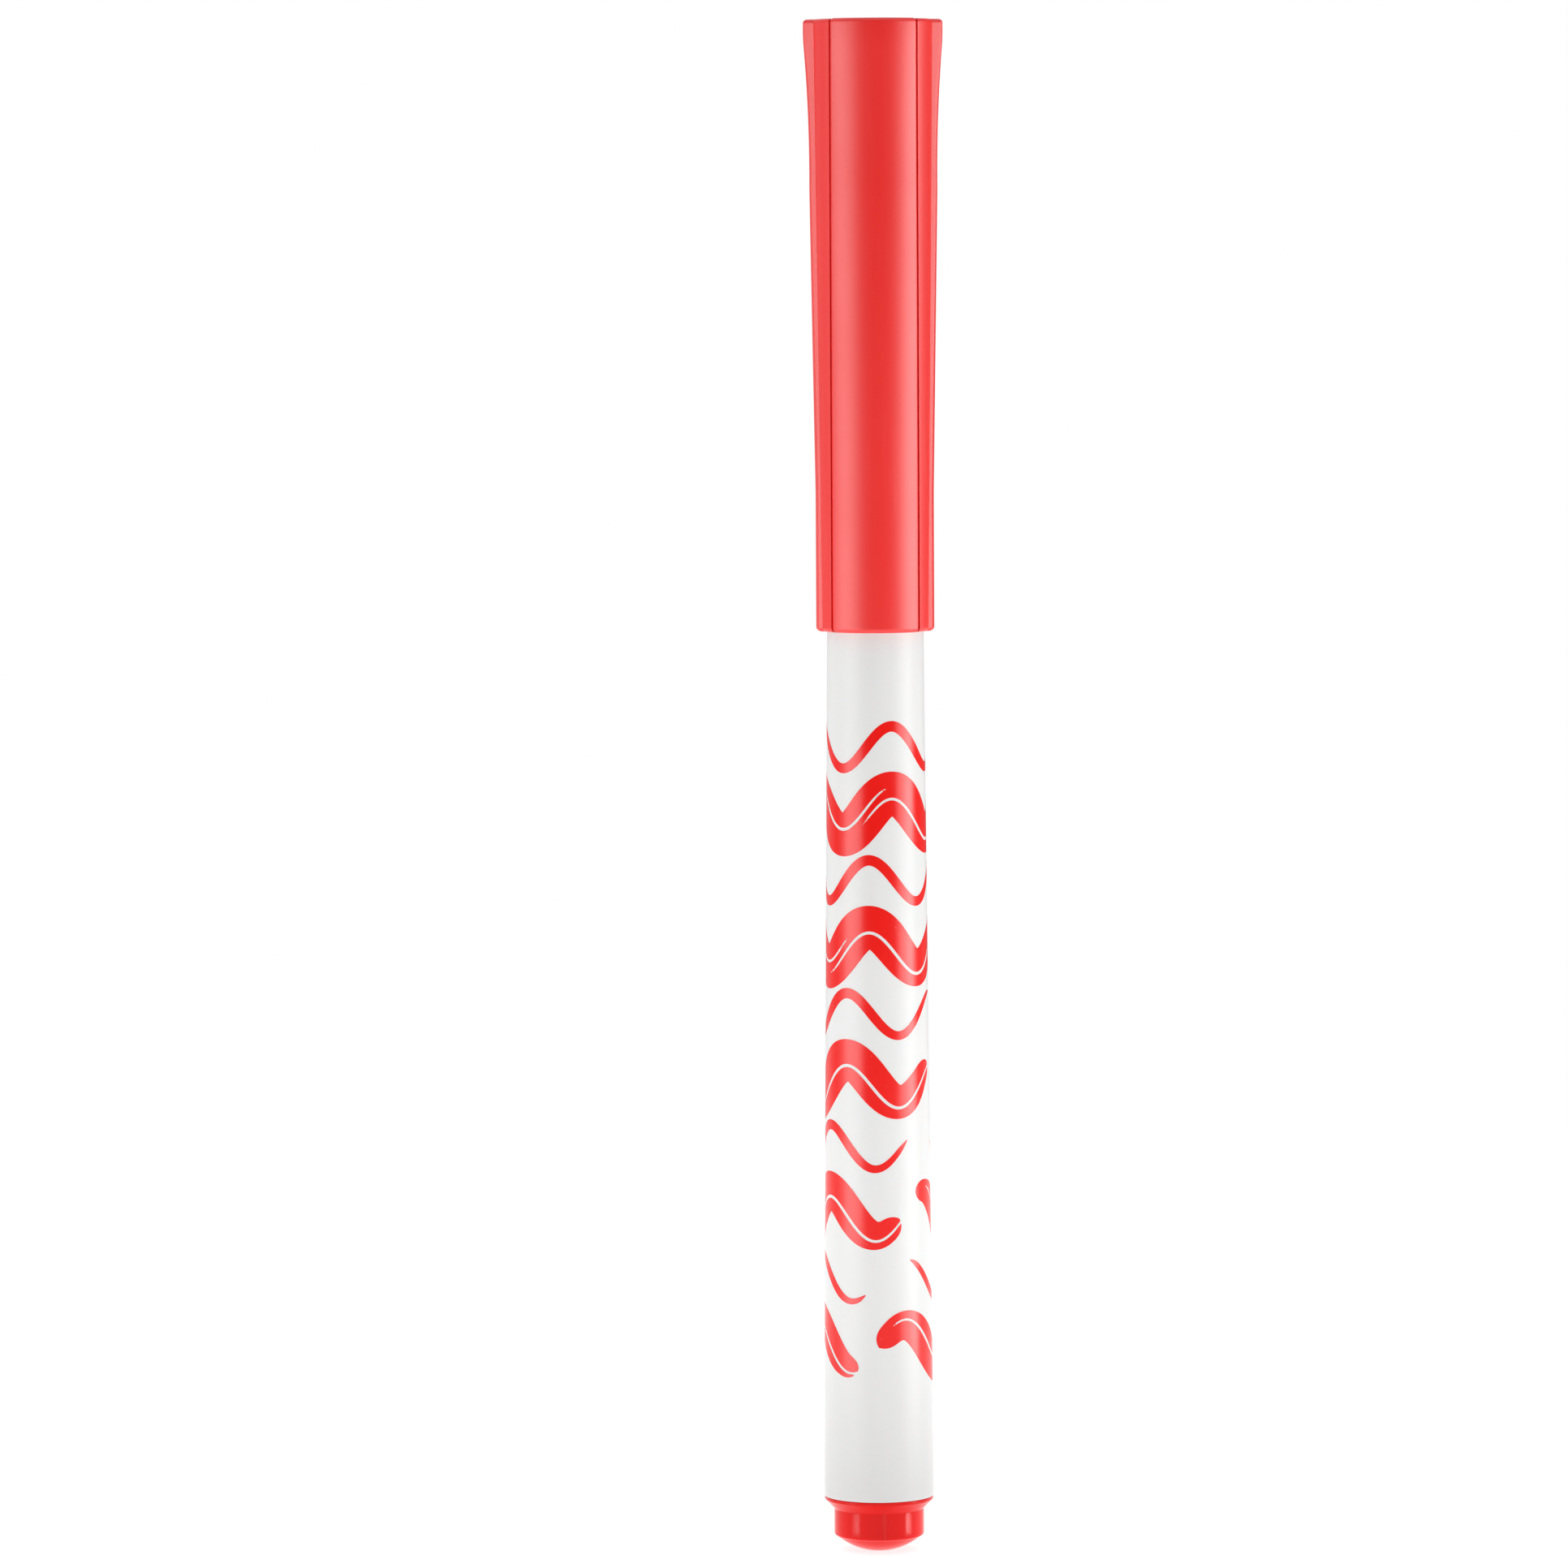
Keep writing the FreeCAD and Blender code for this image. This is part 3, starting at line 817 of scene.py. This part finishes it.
@dataclass
class EndPlug(Part):
    """The domed plug that closes the barrel's rear end. Sizes in millimetres."""

    land_radius: float = 1.2
    dome_radius: float = 6.4
    dome_top: float = 1.36
    stub_radius: float = 4.28
    stub_bottom: float = 1.66
    flange_radius: float = 5.18
    stub_top: float = 4.0
    flange_edge: float = 4.93
    barrel_rear: float = 5.2
    skirt_radius: float = 4.29
    skirt_top: float = 11.0
    hollow_radius: float = 3.1
    hollow_floor: float = 1.9

    def outline(self) -> Outline:
        """The half outline, from the crown's middle round to the floor of the hollow."""
        line = Outline(0.0, 0.0, 0.6)
        line.to(self.land_radius - 0.06, 0.0).to(self.land_radius, 0.0)
        line.arc(self.stub_radius - 0.24, self.dome_top, self.dome_radius, 1, 20)
        line.arc(self.stub_radius, self.stub_bottom, 0.3)
        line.to(self.stub_radius, self.stub_top - 0.08)
        line.arc(self.stub_radius + 0.04, self.stub_top + 0.02, 0.14, -1, 4)
        line.to(self.flange_radius - 0.1, self.flange_edge - 0.12)
        line.arc(self.flange_radius, self.flange_edge + 0.05, 0.2, 1, 5)
        line.to(self.flange_radius, self.barrel_rear - 0.01).to(self.skirt_radius, self.barrel_rear - 0.01)
        line.to(self.skirt_radius, self.skirt_top - 0.4).to(self.skirt_radius - 0.4, self.skirt_top)
        line.to(self.hollow_radius, self.skirt_top).to(self.hollow_radius, self.hollow_floor)
        return line.to(0.0, self.hollow_floor)

    def build(self) -> None:
        """Makes the plug."""
        shell = turned("plug_shell", self.outline(), 128, self.finishes.plug_red)
        smooth(shell)
        self.register(shell, Body.PEN, Slot.PLUG_RED, "end_plug")


@dataclass
class Nib(Part):
    """The fibre nib: a rod with a brush-shaped point, and the loose fibres on it. Sizes in millimetres."""

    tail: float = 111.0
    tail_radius: float = 0.75
    tail_taper: float = 2.0
    shank_radius: float = 1.32
    mouth: float = 134.4
    belly: float = 137.4
    belly_radius: float = 1.37
    belly_curve: float = 5.6
    point: float = 143.02
    point_curve: float = 60.0
    point_radius: float = 0.1
    tip: float = 143.11
    fibres: int = 420
    steps: int = 26
    fibre_radius: float = 0.03
    seed: int = 7
    segments: int = 120
    ridges: int = 7
    ridge_height: float = 0.035
    ridge_fade: float = 0.8
    ridge_sway: float = 0.35
    ridge_sway_rate: float = 1.7
    plain_tip_radius: float = 0.05

    def point_outline(self) -> Outline:
        """The half outline of the part that stands out of the sleeve."""
        line = Outline(self.shank_radius, self.mouth, 0.25)
        line.arc(self.belly_radius, self.belly, self.belly_curve, 1, 14)
        line.arc(self.point_radius, self.point, self.point_curve, 1, 22)
        return line.arc(0.0, self.tip, self.point_radius, 1, 4)

    def body(self) -> bpy.types.Object:
        """The rod, with fine uneven ridges along its point."""
        line = Outline(0.0, self.tail, 1.0).to(self.tail_radius, self.tail)
        line.to(self.shank_radius, self.tail + self.tail_taper).to(self.shank_radius, self.mouth)
        line.points += self.point_outline().points[1:]
        rod = turned("nib_brush", line, self.segments, self.finishes.nib)
        draw = np.random.default_rng(self.seed)
        counts, phases = draw.integers(9, 40, self.ridges), draw.uniform(0, TAU, self.ridges)
        waves = list(zip(counts.tolist(), phases, draw.uniform(0.3, 1, self.ridges)))
        for vertex in rod.data.vertices:
            x, y, z = vertex.co
            if z > self.mouth * MM and math.hypot(x, y) > self.plain_tip_radius * MM:
                angle = math.atan2(y, x)
                rise = min((z / MM - self.mouth) / self.ridge_fade, 1.0)
                ridge = 0.0
                for ridge_count, phase, share in waves:
                    sway = self.ridge_sway * math.sin(z / MM * self.ridge_sway_rate + phase)
                    ridge += share * math.sin(ridge_count * angle + phase + sway)
                scale = 1 + self.ridge_height * rise * ridge / len(waves)
                vertex.co = (x * scale, y * scale, z)
        smooth(rod, 60)
        return rod

    def loose_fibres(self) -> bpy.types.Object:
        """Fibres that lie along the point, each from its own start to its own end."""
        points = self.point_outline().points
        piece = mesh_object("nib_fibres", [(r * MM, 0.0, z * MM) for r, z in points], [])
        piece.data.edges.add(len(points) - 1)
        ends = [k + side for k in range(len(points) - 1) for side in (0, 1)]
        piece.data.edges.foreach_set("vertices", ends)
        tree = GeometryTree("nib_fibre_lay")
        count = tree.input("Fibres", "Int", self.fibres)
        steps = tree.input("Points Per Fibre", "Int", self.steps)
        radius = tree.input("Fibre Radius", "Float", self.fibre_radius * MM)
        seed = tree.input("Seed", "Int", self.seed)
        profile = tree.add("GeometryNodeMeshToCurve", None, {"Mesh": tree.geometry()})
        line = tree.add("GeometryNodeCurvePrimitiveLine", None, {"Start": (0, 0, 0), "End": (0, 0, 1)})
        strand = tree.add("GeometryNodeResampleCurve", {"mode": "COUNT"}, {"Curve": line, "Count": steps})
        copies = tree.add("GeometryNodeDuplicateElements", {"domain": "SPLINE"},
                          {"Geometry": strand, "Amount": count})
        number = tree.other(copies, "Duplicate Index")
        along = tree.add("GeometryNodeSplineParameter", output="Factor")

        def chance(low: float, high: float, salt: int) -> Wire:
            """A random value for each fibre."""
            mixed = tree.add("ShaderNodeMath", {"operation": "ADD"}, {0: seed, 1: float(salt)})
            return tree.add("FunctionNodeRandomValue", {"data_type": "FLOAT"},
                            {"Min": low, "Max": high, "ID": number, "Seed": mixed}, output=1)

        start = chance(0.0, 0.35, 11)
        length = chance(0.30, 0.65, 23)
        factor = tree.add("ShaderNodeClamp", None,
                          {"Value": start + along * length, "Min": 0.0, "Max": 0.985})
        sample = tree.add("GeometryNodeSampleCurve", {"data_type": "FLOAT", "mode": "FACTOR"},
                          {"Curves": profile, "Factor": factor}, output="Position")
        sway = tree.add("ShaderNodeMath", {"operation": "SINE"}, {0: along * 5.0 + chance(0.0, TAU, 31)})
        turn = chance(0.0, TAU, 43) + sway * chance(-0.05, 0.05, 57)
        spun = tree.add("ShaderNodeVectorRotate", {"rotation_type": "Z_AXIS"},
                        {"Vector": sample, "Angle": turn})
        flat = tree.add("ShaderNodeVectorMath", {"operation": "MULTIPLY"}, {0: spun, 1: (1.0, 1.0, 0.0)})
        lift = chance(-0.012, 0.018, 71)
        raised = tree.add("ShaderNodeVectorMath", {"operation": "SCALE"}, {0: flat, "Scale": lift})
        place = tree.add("ShaderNodeVectorMath", {"operation": "ADD"}, {0: spun, 1: raised})
        laid = tree.add("GeometryNodeSetPosition", None, {"Geometry": copies, "Position": place})
        section = tree.add("GeometryNodeCurvePrimitiveCircle", {"mode": "RADIUS"},
                           {"Resolution": 5, "Radius": radius})
        thin = (1.0 - factor * 0.75) * (1.0 - (along - 0.5) * (along - 0.5) * 2.8)
        thick = tree.add("GeometryNodeSetCurveRadius", None, {"Curve": laid, "Radius": thin})
        tubes = tree.add("GeometryNodeCurveToMesh", None,
                         {"Curve": thick, "Profile Curve": section, "Fill Caps": True})
        tree.apply_to(piece, tubes, self.finishes.nib)
        tidy_mesh(piece)
        smooth(piece, 80)
        return piece

    def build(self) -> None:
        """Makes the rod and its fibres."""
        self.register(self.body(), Body.PEN, Slot.FIBRE, "nib")
        self.register(self.loose_fibres(), Body.PEN, Slot.FIBRE)


@dataclass
class Cap(Part):
    """The push-on cap: a drafted core, three broad panels and an inner sleeve. Sizes in millimetres."""

    mouth: float = 87.5
    lap_top: float = 87.95
    top: float = 145.0
    panels: int = 3
    panel_half_width: float = 4.0
    mouth_radius: float = 5.58
    flare_start: float = 100.5
    middle: float = 129.0
    middle_radius: float = 6.03
    flare_curve: float = 150.0
    flare_end: float = 143.2
    rim_radius: float = 6.565
    strip_mouth_radius: float = 5.34
    strip_top_radius: float = 5.8
    mouth_round: float = 0.4
    rim_round: float = 0.35
    crown_floor: float = 144.4
    crown_radius: float = 5.15
    seal_outer: float = 3.45
    seal_inner: float = 2.88
    seal_bottom: float = 124.7
    seal_lead: float = 0.25
    seal_end: float = 141.6
    seal_tip: tuple[float, float] = (1.2, 143.6)
    lead_radius: float = 4.83
    lap_radius: float = 4.63
    grip_radius: float = 4.3
    bore_radius: float = 4.17
    bore_end: float = 122.5
    vent_radius: float = 4.85
    bridge_width: float = 1.2
    bridge_bottom: float = 127.0
    crease_width: float = 0.16
    crease_depth: float = 0.14
    edge_round: float = 0.13
    edge_growth: float = 0.10
    edge_least: float = 0.03
    points_per_run: tuple[int, int, int, int] = (14, 5, 3, 7)

    def panel_radius(self, height: float) -> float:
        """The panels' radius at a height: straight, then widening, then curving out to the rim."""
        if height <= self.flare_start:
            return self.mouth_radius
        if height <= self.middle:
            run = (height - self.flare_start) / (self.middle - self.flare_start)
            return self.mouth_radius + (self.middle_radius - self.mouth_radius) * run
        run = min((height - self.middle) / (self.flare_end - self.middle), 1.0)
        chord = self.middle_radius + (self.rim_radius - self.middle_radius) * run
        sag = (self.flare_end - self.middle) ** 2 / (8 * self.flare_curve)
        return chord - 4 * sag * run * (1 - run)

    def strip_radius(self, height: float) -> float:
        """The radius of the strips between the panels at a height."""
        run = (height - self.mouth) / (self.top - self.mouth)
        return self.strip_mouth_radius + (self.strip_top_radius - self.strip_mouth_radius) * run

    def section(self, height: float, inset: float) -> list[Point]:
        """The cap's outline at a height, drawn inset from its full size.

        The front half of one panel and half of the strip beside it are drawn, then mirrored and repeated.
        """
        run = (height - self.mouth) / (self.top - self.mouth)
        half = self.panel_half_width - inset
        outer, strip = self.panel_radius(height) - inset, self.strip_radius(height) - inset
        edge = max(self.edge_round + self.edge_growth * run - inset, self.edge_least)
        foot, lip = strip - self.crease_depth, half + self.crease_width
        edge_y = -math.sqrt((outer - edge) ** 2 - (half - edge) ** 2)
        foot_y = -math.sqrt(foot**2 - half**2)
        arc_end = math.atan2(half - edge, -edge_y)
        strip_start = math.asin(lip / strip)
        panel_n, edge_n, wall_n, strip_n = self.points_per_run
        turns = [arc_end * k / panel_n for k in range(panel_n)]
        points = [(outer * math.sin(turn), -outer * math.cos(turn)) for turn in turns]
        for k in range(edge_n):
            angle = arc_end + (math.pi / 2 - arc_end) * k / edge_n
            points.append((half - edge + edge * math.sin(angle), edge_y - edge * math.cos(angle)))
        points += [(half, edge_y + (foot_y - edge_y) * k / wall_n) for k in range(wall_n)]
        for k in range(wall_n + 1):
            across = half + self.crease_width * k / wall_n
            points.append((across, -math.sqrt(foot**2 - across**2)))
        middle = math.pi / self.panels
        for k in range(strip_n):
            angle = strip_start + (middle - strip_start) * k / strip_n
            points.append((strip * math.sin(angle), -strip * math.cos(angle)))
        corner = (strip * math.sin(middle), -strip * math.cos(middle))
        mirrored = []
        for x, y in points[:0:-1]:
            away = 2 * (x * math.cos(middle) + y * math.sin(middle))
            mirrored.append((x - away * math.cos(middle), y - away * math.sin(middle)))
        sector = points + [corner] + mirrored
        ring = []
        for number in range(self.panels):
            cosine, sine = math.cos(TAU * number / self.panels), math.sin(TAU * number / self.panels)
            ring += [(x * cosine - y * sine, x * sine + y * cosine) for x, y in sector]
        return ring

    def levels(self) -> list[tuple[float, float]]:
        """The heights and insets of the rings, from the mouth's flat edge to the rim's."""
        steps, count, margin = 7, 64, 0.15
        turns = [math.pi / 2 * k / steps for k in range(steps + 1)]
        curve = [(1 - math.sin(t), 1 - math.cos(t)) for t in turns]
        mouth = [(self.mouth + self.mouth_round * up, self.mouth_round * inward)
                 for up, inward in reversed(curve)]
        rim = [(self.top - self.rim_round * down, self.rim_round * inward) for down, inward in curve]
        low, high = self.mouth + self.mouth_round, self.top - self.rim_round
        side = [(low + (high - low) * k / count, 0.0) for k in range(1, count)]
        return mouth + [(low + margin, 0.0)] + side + [(high - margin, 0.0)] + rim

    def solid(self) -> bpy.types.Object:
        """The cap's outside as a closed solid."""
        rings = [[(x * MM, y * MM, z * MM) for x, y in self.section(z, inset)] for z, inset in self.levels()]
        count = len(rings[0])
        faces = []
        for r in range(0, (len(rings) - 1) * count, count):
            faces += [(r + k, r + (k + 1) % count, r + count + (k + 1) % count, r + count + k)
                      for k in range(count)]
        last = (len(rings) - 1) * count
        faces += [tuple(range(count))[::-1], tuple(range(last, last + count))]
        piece = mesh_object("cap_shell", [p for ring in rings for p in ring], faces)
        tidy_mesh(piece)
        piece.data.materials.append(self.finishes.cap_red)
        return piece

    def vent_wall(self, height: float) -> float:
        """The radius of the vents' outer wall at a height, which carries on the bore's draft."""
        run = (height - self.bore_end) / (self.crown_floor - self.bore_end)
        return self.bore_radius + (self.vent_radius - self.bore_radius) * run

    def bore_cutter(self) -> bpy.types.Object:
        """What the mould's core leaves empty, below the bridges."""
        line = Outline(0.0, self.mouth - 1, 1.5).to(self.lead_radius, self.mouth - 1)
        line.to(self.lead_radius, self.mouth).to(self.lap_radius, self.mouth + 0.2)
        line.to(self.lap_radius, self.lap_top).to(self.grip_radius, self.lap_top)
        line.to(self.bore_radius, self.bore_end).to(self.vent_wall(self.bridge_bottom), self.bridge_bottom)
        line.to(self.seal_outer, self.bridge_bottom).to(self.seal_outer, self.seal_bottom)
        line.to(self.seal_inner + self.seal_lead, self.seal_bottom)
        line.to(self.seal_inner, self.seal_bottom + self.seal_lead).to(self.seal_inner, self.seal_end)
        line.to(*self.seal_tip).to(0.0, self.seal_tip[1])
        return turned("bore_cutter", line, 144, self.finishes.cap_red)

    def dish_cutter(self) -> bpy.types.Object:
        """The shallow dish in the closed end."""
        radius, floor = self.crown_radius, self.crown_floor
        line = Outline(0.0, self.top + 1, 1.0).to(radius + 0.4, self.top + 1)
        line.to(radius + 0.4, self.top + 0.12)
        line.arc(radius + 0.14, self.top - 0.12, 0.25, -1, 5).to(radius + 0.03, floor + 0.12)
        line.arc(radius - 0.1, floor, 0.13, 1, 4).to(0.0, floor)
        return turned("dish_cutter", line, 144, self.finishes.cap_red)

    def vent_cutter(self, number: int) -> bpy.types.Object:
        """One of the curved vents between the bridges, from the crown down to the bore."""
        steps = 22
        levels = ((self.bridge_bottom - 0.3, 0.1), (self.bridge_bottom + 0.05, 0.0), (self.top + 0.5, 0.0))
        centre = TAU * (number + 0.5) / self.panels + math.pi / 2
        vertices = []
        for height, inset in levels:
            for radius in (self.seal_outer + inset, self.vent_wall(height) - inset):
                reach = math.pi / self.panels - math.asin(self.bridge_width / 2 / radius)
                for k in range(steps + 1):
                    angle = centre + reach * (2 * k / steps - 1)
                    x, y = radius * math.cos(angle), radius * math.sin(angle)
                    vertices.append((x * MM, y * MM, height * MM))
        row = steps + 1
        last = 2 * (len(levels) - 1) * row
        quads = []
        for k in range(steps):
            quads += [(k, k + 1, row + k + 1, row + k),
                      (last + k, last + row + k, last + row + k + 1, last + k + 1)]
        for start in range(0, last, 2 * row):
            inner, outer, above_inner, above_outer = (start + n * row for n in range(4))
            for k in range(steps):
                quads += [(inner + k, above_inner + k, above_inner + k + 1, inner + k + 1),
                          (outer + k, outer + k + 1, above_outer + k + 1, above_outer + k)]
            quads += [(inner, outer, above_outer, above_inner),
                      (inner + steps, above_inner + steps, above_outer + steps, outer + steps)]
        cutter = mesh_object(f"vent_cutter_{number}", vertices, quads)
        tidy_mesh(cutter)
        return cutter

    def gate_mark(self) -> bpy.types.Object:
        """The small nub that the mould's gate leaves in the middle of the crown."""
        line = Outline(0.0, self.crown_floor + 0.1, 0.2).to(0.28, self.crown_floor + 0.1)
        line.arc(0.36, self.crown_floor + 0.02, 0.08, -1, 4).arc(0.55, self.crown_floor - 0.01, 0.3, 1, 4)
        mark = turned("cap_gate_mark", line.to(0.0, self.crown_floor - 0.01), 40, self.finishes.cap_red)
        smooth(mark, 40)
        return mark

    def build(self) -> None:
        """Makes the cap."""
        shell = self.solid()
        vents = [self.vent_cutter(number) for number in range(self.panels)]
        cut_away(shell, [self.bore_cutter(), self.dish_cutter(), *vents])
        smooth(shell, 30)
        self.register(shell, Body.CAP, Slot.CAP_RED, "cap")
        self.register(self.gate_mark(), Body.CAP, Slot.CAP_RED)


@dataclass
class Reservoir(Part):
    """The filler and its film, which keep their CAD shapes."""

    def build(self) -> None:
        """Dresses the two nodes."""
        dressed = (("reservoir_core", self.finishes.filler), ("reservoir_film", self.finishes.film))
        for node, material in dressed:
            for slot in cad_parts[node].material_slots:
                slot.material = material
            LOG.info("%s: dressed", node)


# ---------------------------------------------------------------- studio


@dataclass
class Studio:
    """Floor, light and camera. Sizes in metres and degrees."""

    distance: float = 0.747
    elevation: float = 3.9
    roll: float = 0.3
    lens: float = 181.3
    aside: float = -0.0087
    aim_lift: float = 0.00052
    floor_reach: float = 0.35
    strip_distance: float = 0.11
    strip_width: float = 0.06
    strip_height: float = 0.32
    strip_spread: float = 36.0
    strip_lift: float = 4.0
    strip_gap: float = 0.0002
    foot_distance: float = 0.013
    foot_size: tuple[float, float] = (0.0062, 0.0030)
    floor_glow: float = 0.82
    surround_front: float = 0.07
    surround_back: float = 0.12
    surround_back_left: float = 0.35
    surround_above: float = 0.80

    def floor(self) -> None:
        """A plain pale floor."""
        shader = Shader("pale_floor")
        grain = shader.noise(60.0, 2.0)
        shader.finish(
            {"Base Color": shader.mix(grain, (0.54, 0.54, 0.54), (0.57, 0.57, 0.57)),
             "Roughness": 0.55 + grain * 0.1},
            {"Emission Color": (1.0, 1.0, 1.0, 1.0), "Emission Strength": self.floor_glow,
             "Specular IOR Level": 0.1},
        )
        reach = self.floor_reach
        corners = [(-reach, -reach, 0), (reach, -reach, 0), (reach, reach, 0), (-reach, reach, 0)]
        slab = mesh_object("floor", corners, [(0, 1, 2, 3)])
        slab.data.materials.append(shader.material)

    def strip(self, name: str, azimuth: float, radiance: float, distance: float,
              size: tuple[float, float]) -> None:
        """A strip light with a grid, standing beside the pen and aimed at it.

        Args:
            name: the light's name.
            azimuth: its direction from the pen, in degrees from the viewer's side towards +X.
            radiance: how bright its face is, straight on.
            distance: how far it stands from the pen's axis.
            size: its width and height.
        """
        light = bpy.data.lights.new(name, "AREA")
        light.shape = "RECTANGLE"
        light.size, light.size_y = size
        light.spread = math.radians(self.strip_spread)
        half = light.spread / 2
        gain = math.tan(half) / (math.tan(half) - half)
        light.energy = radiance * math.pi * size[0] * size[1] / gain
        lamp = bpy.data.objects.new(name, light)
        turn, rise = math.radians(azimuth), math.radians(self.strip_lift)
        outward = Vector((math.sin(turn), -math.cos(turn), 0.0))
        lamp.location = outward * distance + Vector((0, 0, size[1] / 2 + self.strip_gap))
        aim = -outward * math.cos(rise) + Vector((0, 0, math.sin(rise)))
        lamp.rotation_euler = aim.to_track_quat("-Z", "Y").to_euler()
        lamp.visible_camera = False
        bpy.context.scene.collection.objects.link(lamp)

    def world(self) -> None:
        """A pale surround: dark on the viewer's side, brightest behind on the left."""
        world = bpy.data.worlds.new("surround")
        world.use_nodes = True
        bpy.context.scene.world = world
        graph = Graph(world.node_tree)
        direction = graph.add("ShaderNodeTexCoord", output="Generated")
        across = graph.add("ShaderNodeSeparateXYZ", None, {"Vector": direction}, output="X")
        away, up = graph.other(across, "Y"), graph.other(across, "Z")
        behind, left, above = away.step(-0.1, 0.5), 1.0 - across.step(-0.4, 0.4), up.step(0.35, 0.8)
        seen = graph.add("ShaderNodeLightPath", output="Is Camera Ray")
        back = self.surround_back + left * self.surround_back_left
        hidden = self.surround_front + behind * back + above * self.surround_above
        strength = seen + (1.0 - seen) * hidden
        surround = graph.add("ShaderNodeBackground", None,
                             {"Color": (1.0, 1.0, 1.0, 1.0), "Strength": strength})
        graph.add("ShaderNodeOutputWorld", None, {"Surface": surround})

    def camera(self) -> None:
        """The camera, level with the pen's upper half, looking a little down and rolled by a hair."""
        low, high = CAD_BOX
        middle = Vector((self.aside, 0.0, (low[2] + high[2]) / 2 + self.aim_lift))
        tilt = math.radians(self.elevation)
        data = bpy.data.cameras.new("camera")
        data.lens, data.sensor_width = self.lens, 36.0
        data.clip_start, data.clip_end = 0.01, 50.0
        camera = bpy.data.objects.new("camera", data)
        camera.location = middle + Vector((0.0, -math.cos(tilt), math.sin(tilt))) * self.distance
        view = (middle - camera.location).to_track_quat("-Z", "Y")
        camera.rotation_euler = (view @ Quaternion((0, 0, 1), -math.radians(self.roll))).to_euler()
        bpy.context.scene.collection.objects.link(camera)
        bpy.context.scene.camera = camera

    def build(self) -> None:
        """Sets the stage."""
        bpy.context.scene.view_settings.view_transform = "Standard"
        bpy.context.scene.view_settings.look = "None"
        self.camera()
        self.floor()
        self.world()
        tall = (("left_front", -46.0, 5.8), ("left_side", -66.0, 6.8), ("left_back", -84.0, 1.5),
                ("right_front", 62.0, 7.0), ("right_side", 82.0, 11.5))
        for name, azimuth, radiance in tall:
            self.strip(f"strip_{name}", azimuth, radiance, self.strip_distance,
                       (self.strip_width, self.strip_height))
        for name, azimuth, radiance in (("left", -58.0, 7.0), ("right", 75.0, 15.0)):
            self.strip(f"foot_light_{name}", azimuth, radiance, self.foot_distance, self.foot_size)


def main() -> None:
    """Builds the marker in order."""
    logging.basicConfig(level=logging.INFO, format="%(name)s: %(message)s")
    Studio().build()
    finishes = Finishes()
    barrel = Barrel(finishes)
    parts = [EndPlug(finishes), barrel, BarrelPrint(finishes, barrel), Nib(finishes), Reservoir(finishes),
             Cap(finishes)]
    for part in parts:
        LOG.info("building %s", type(part).__name__)
        part.build()


if __name__ == "__main__":
    main()
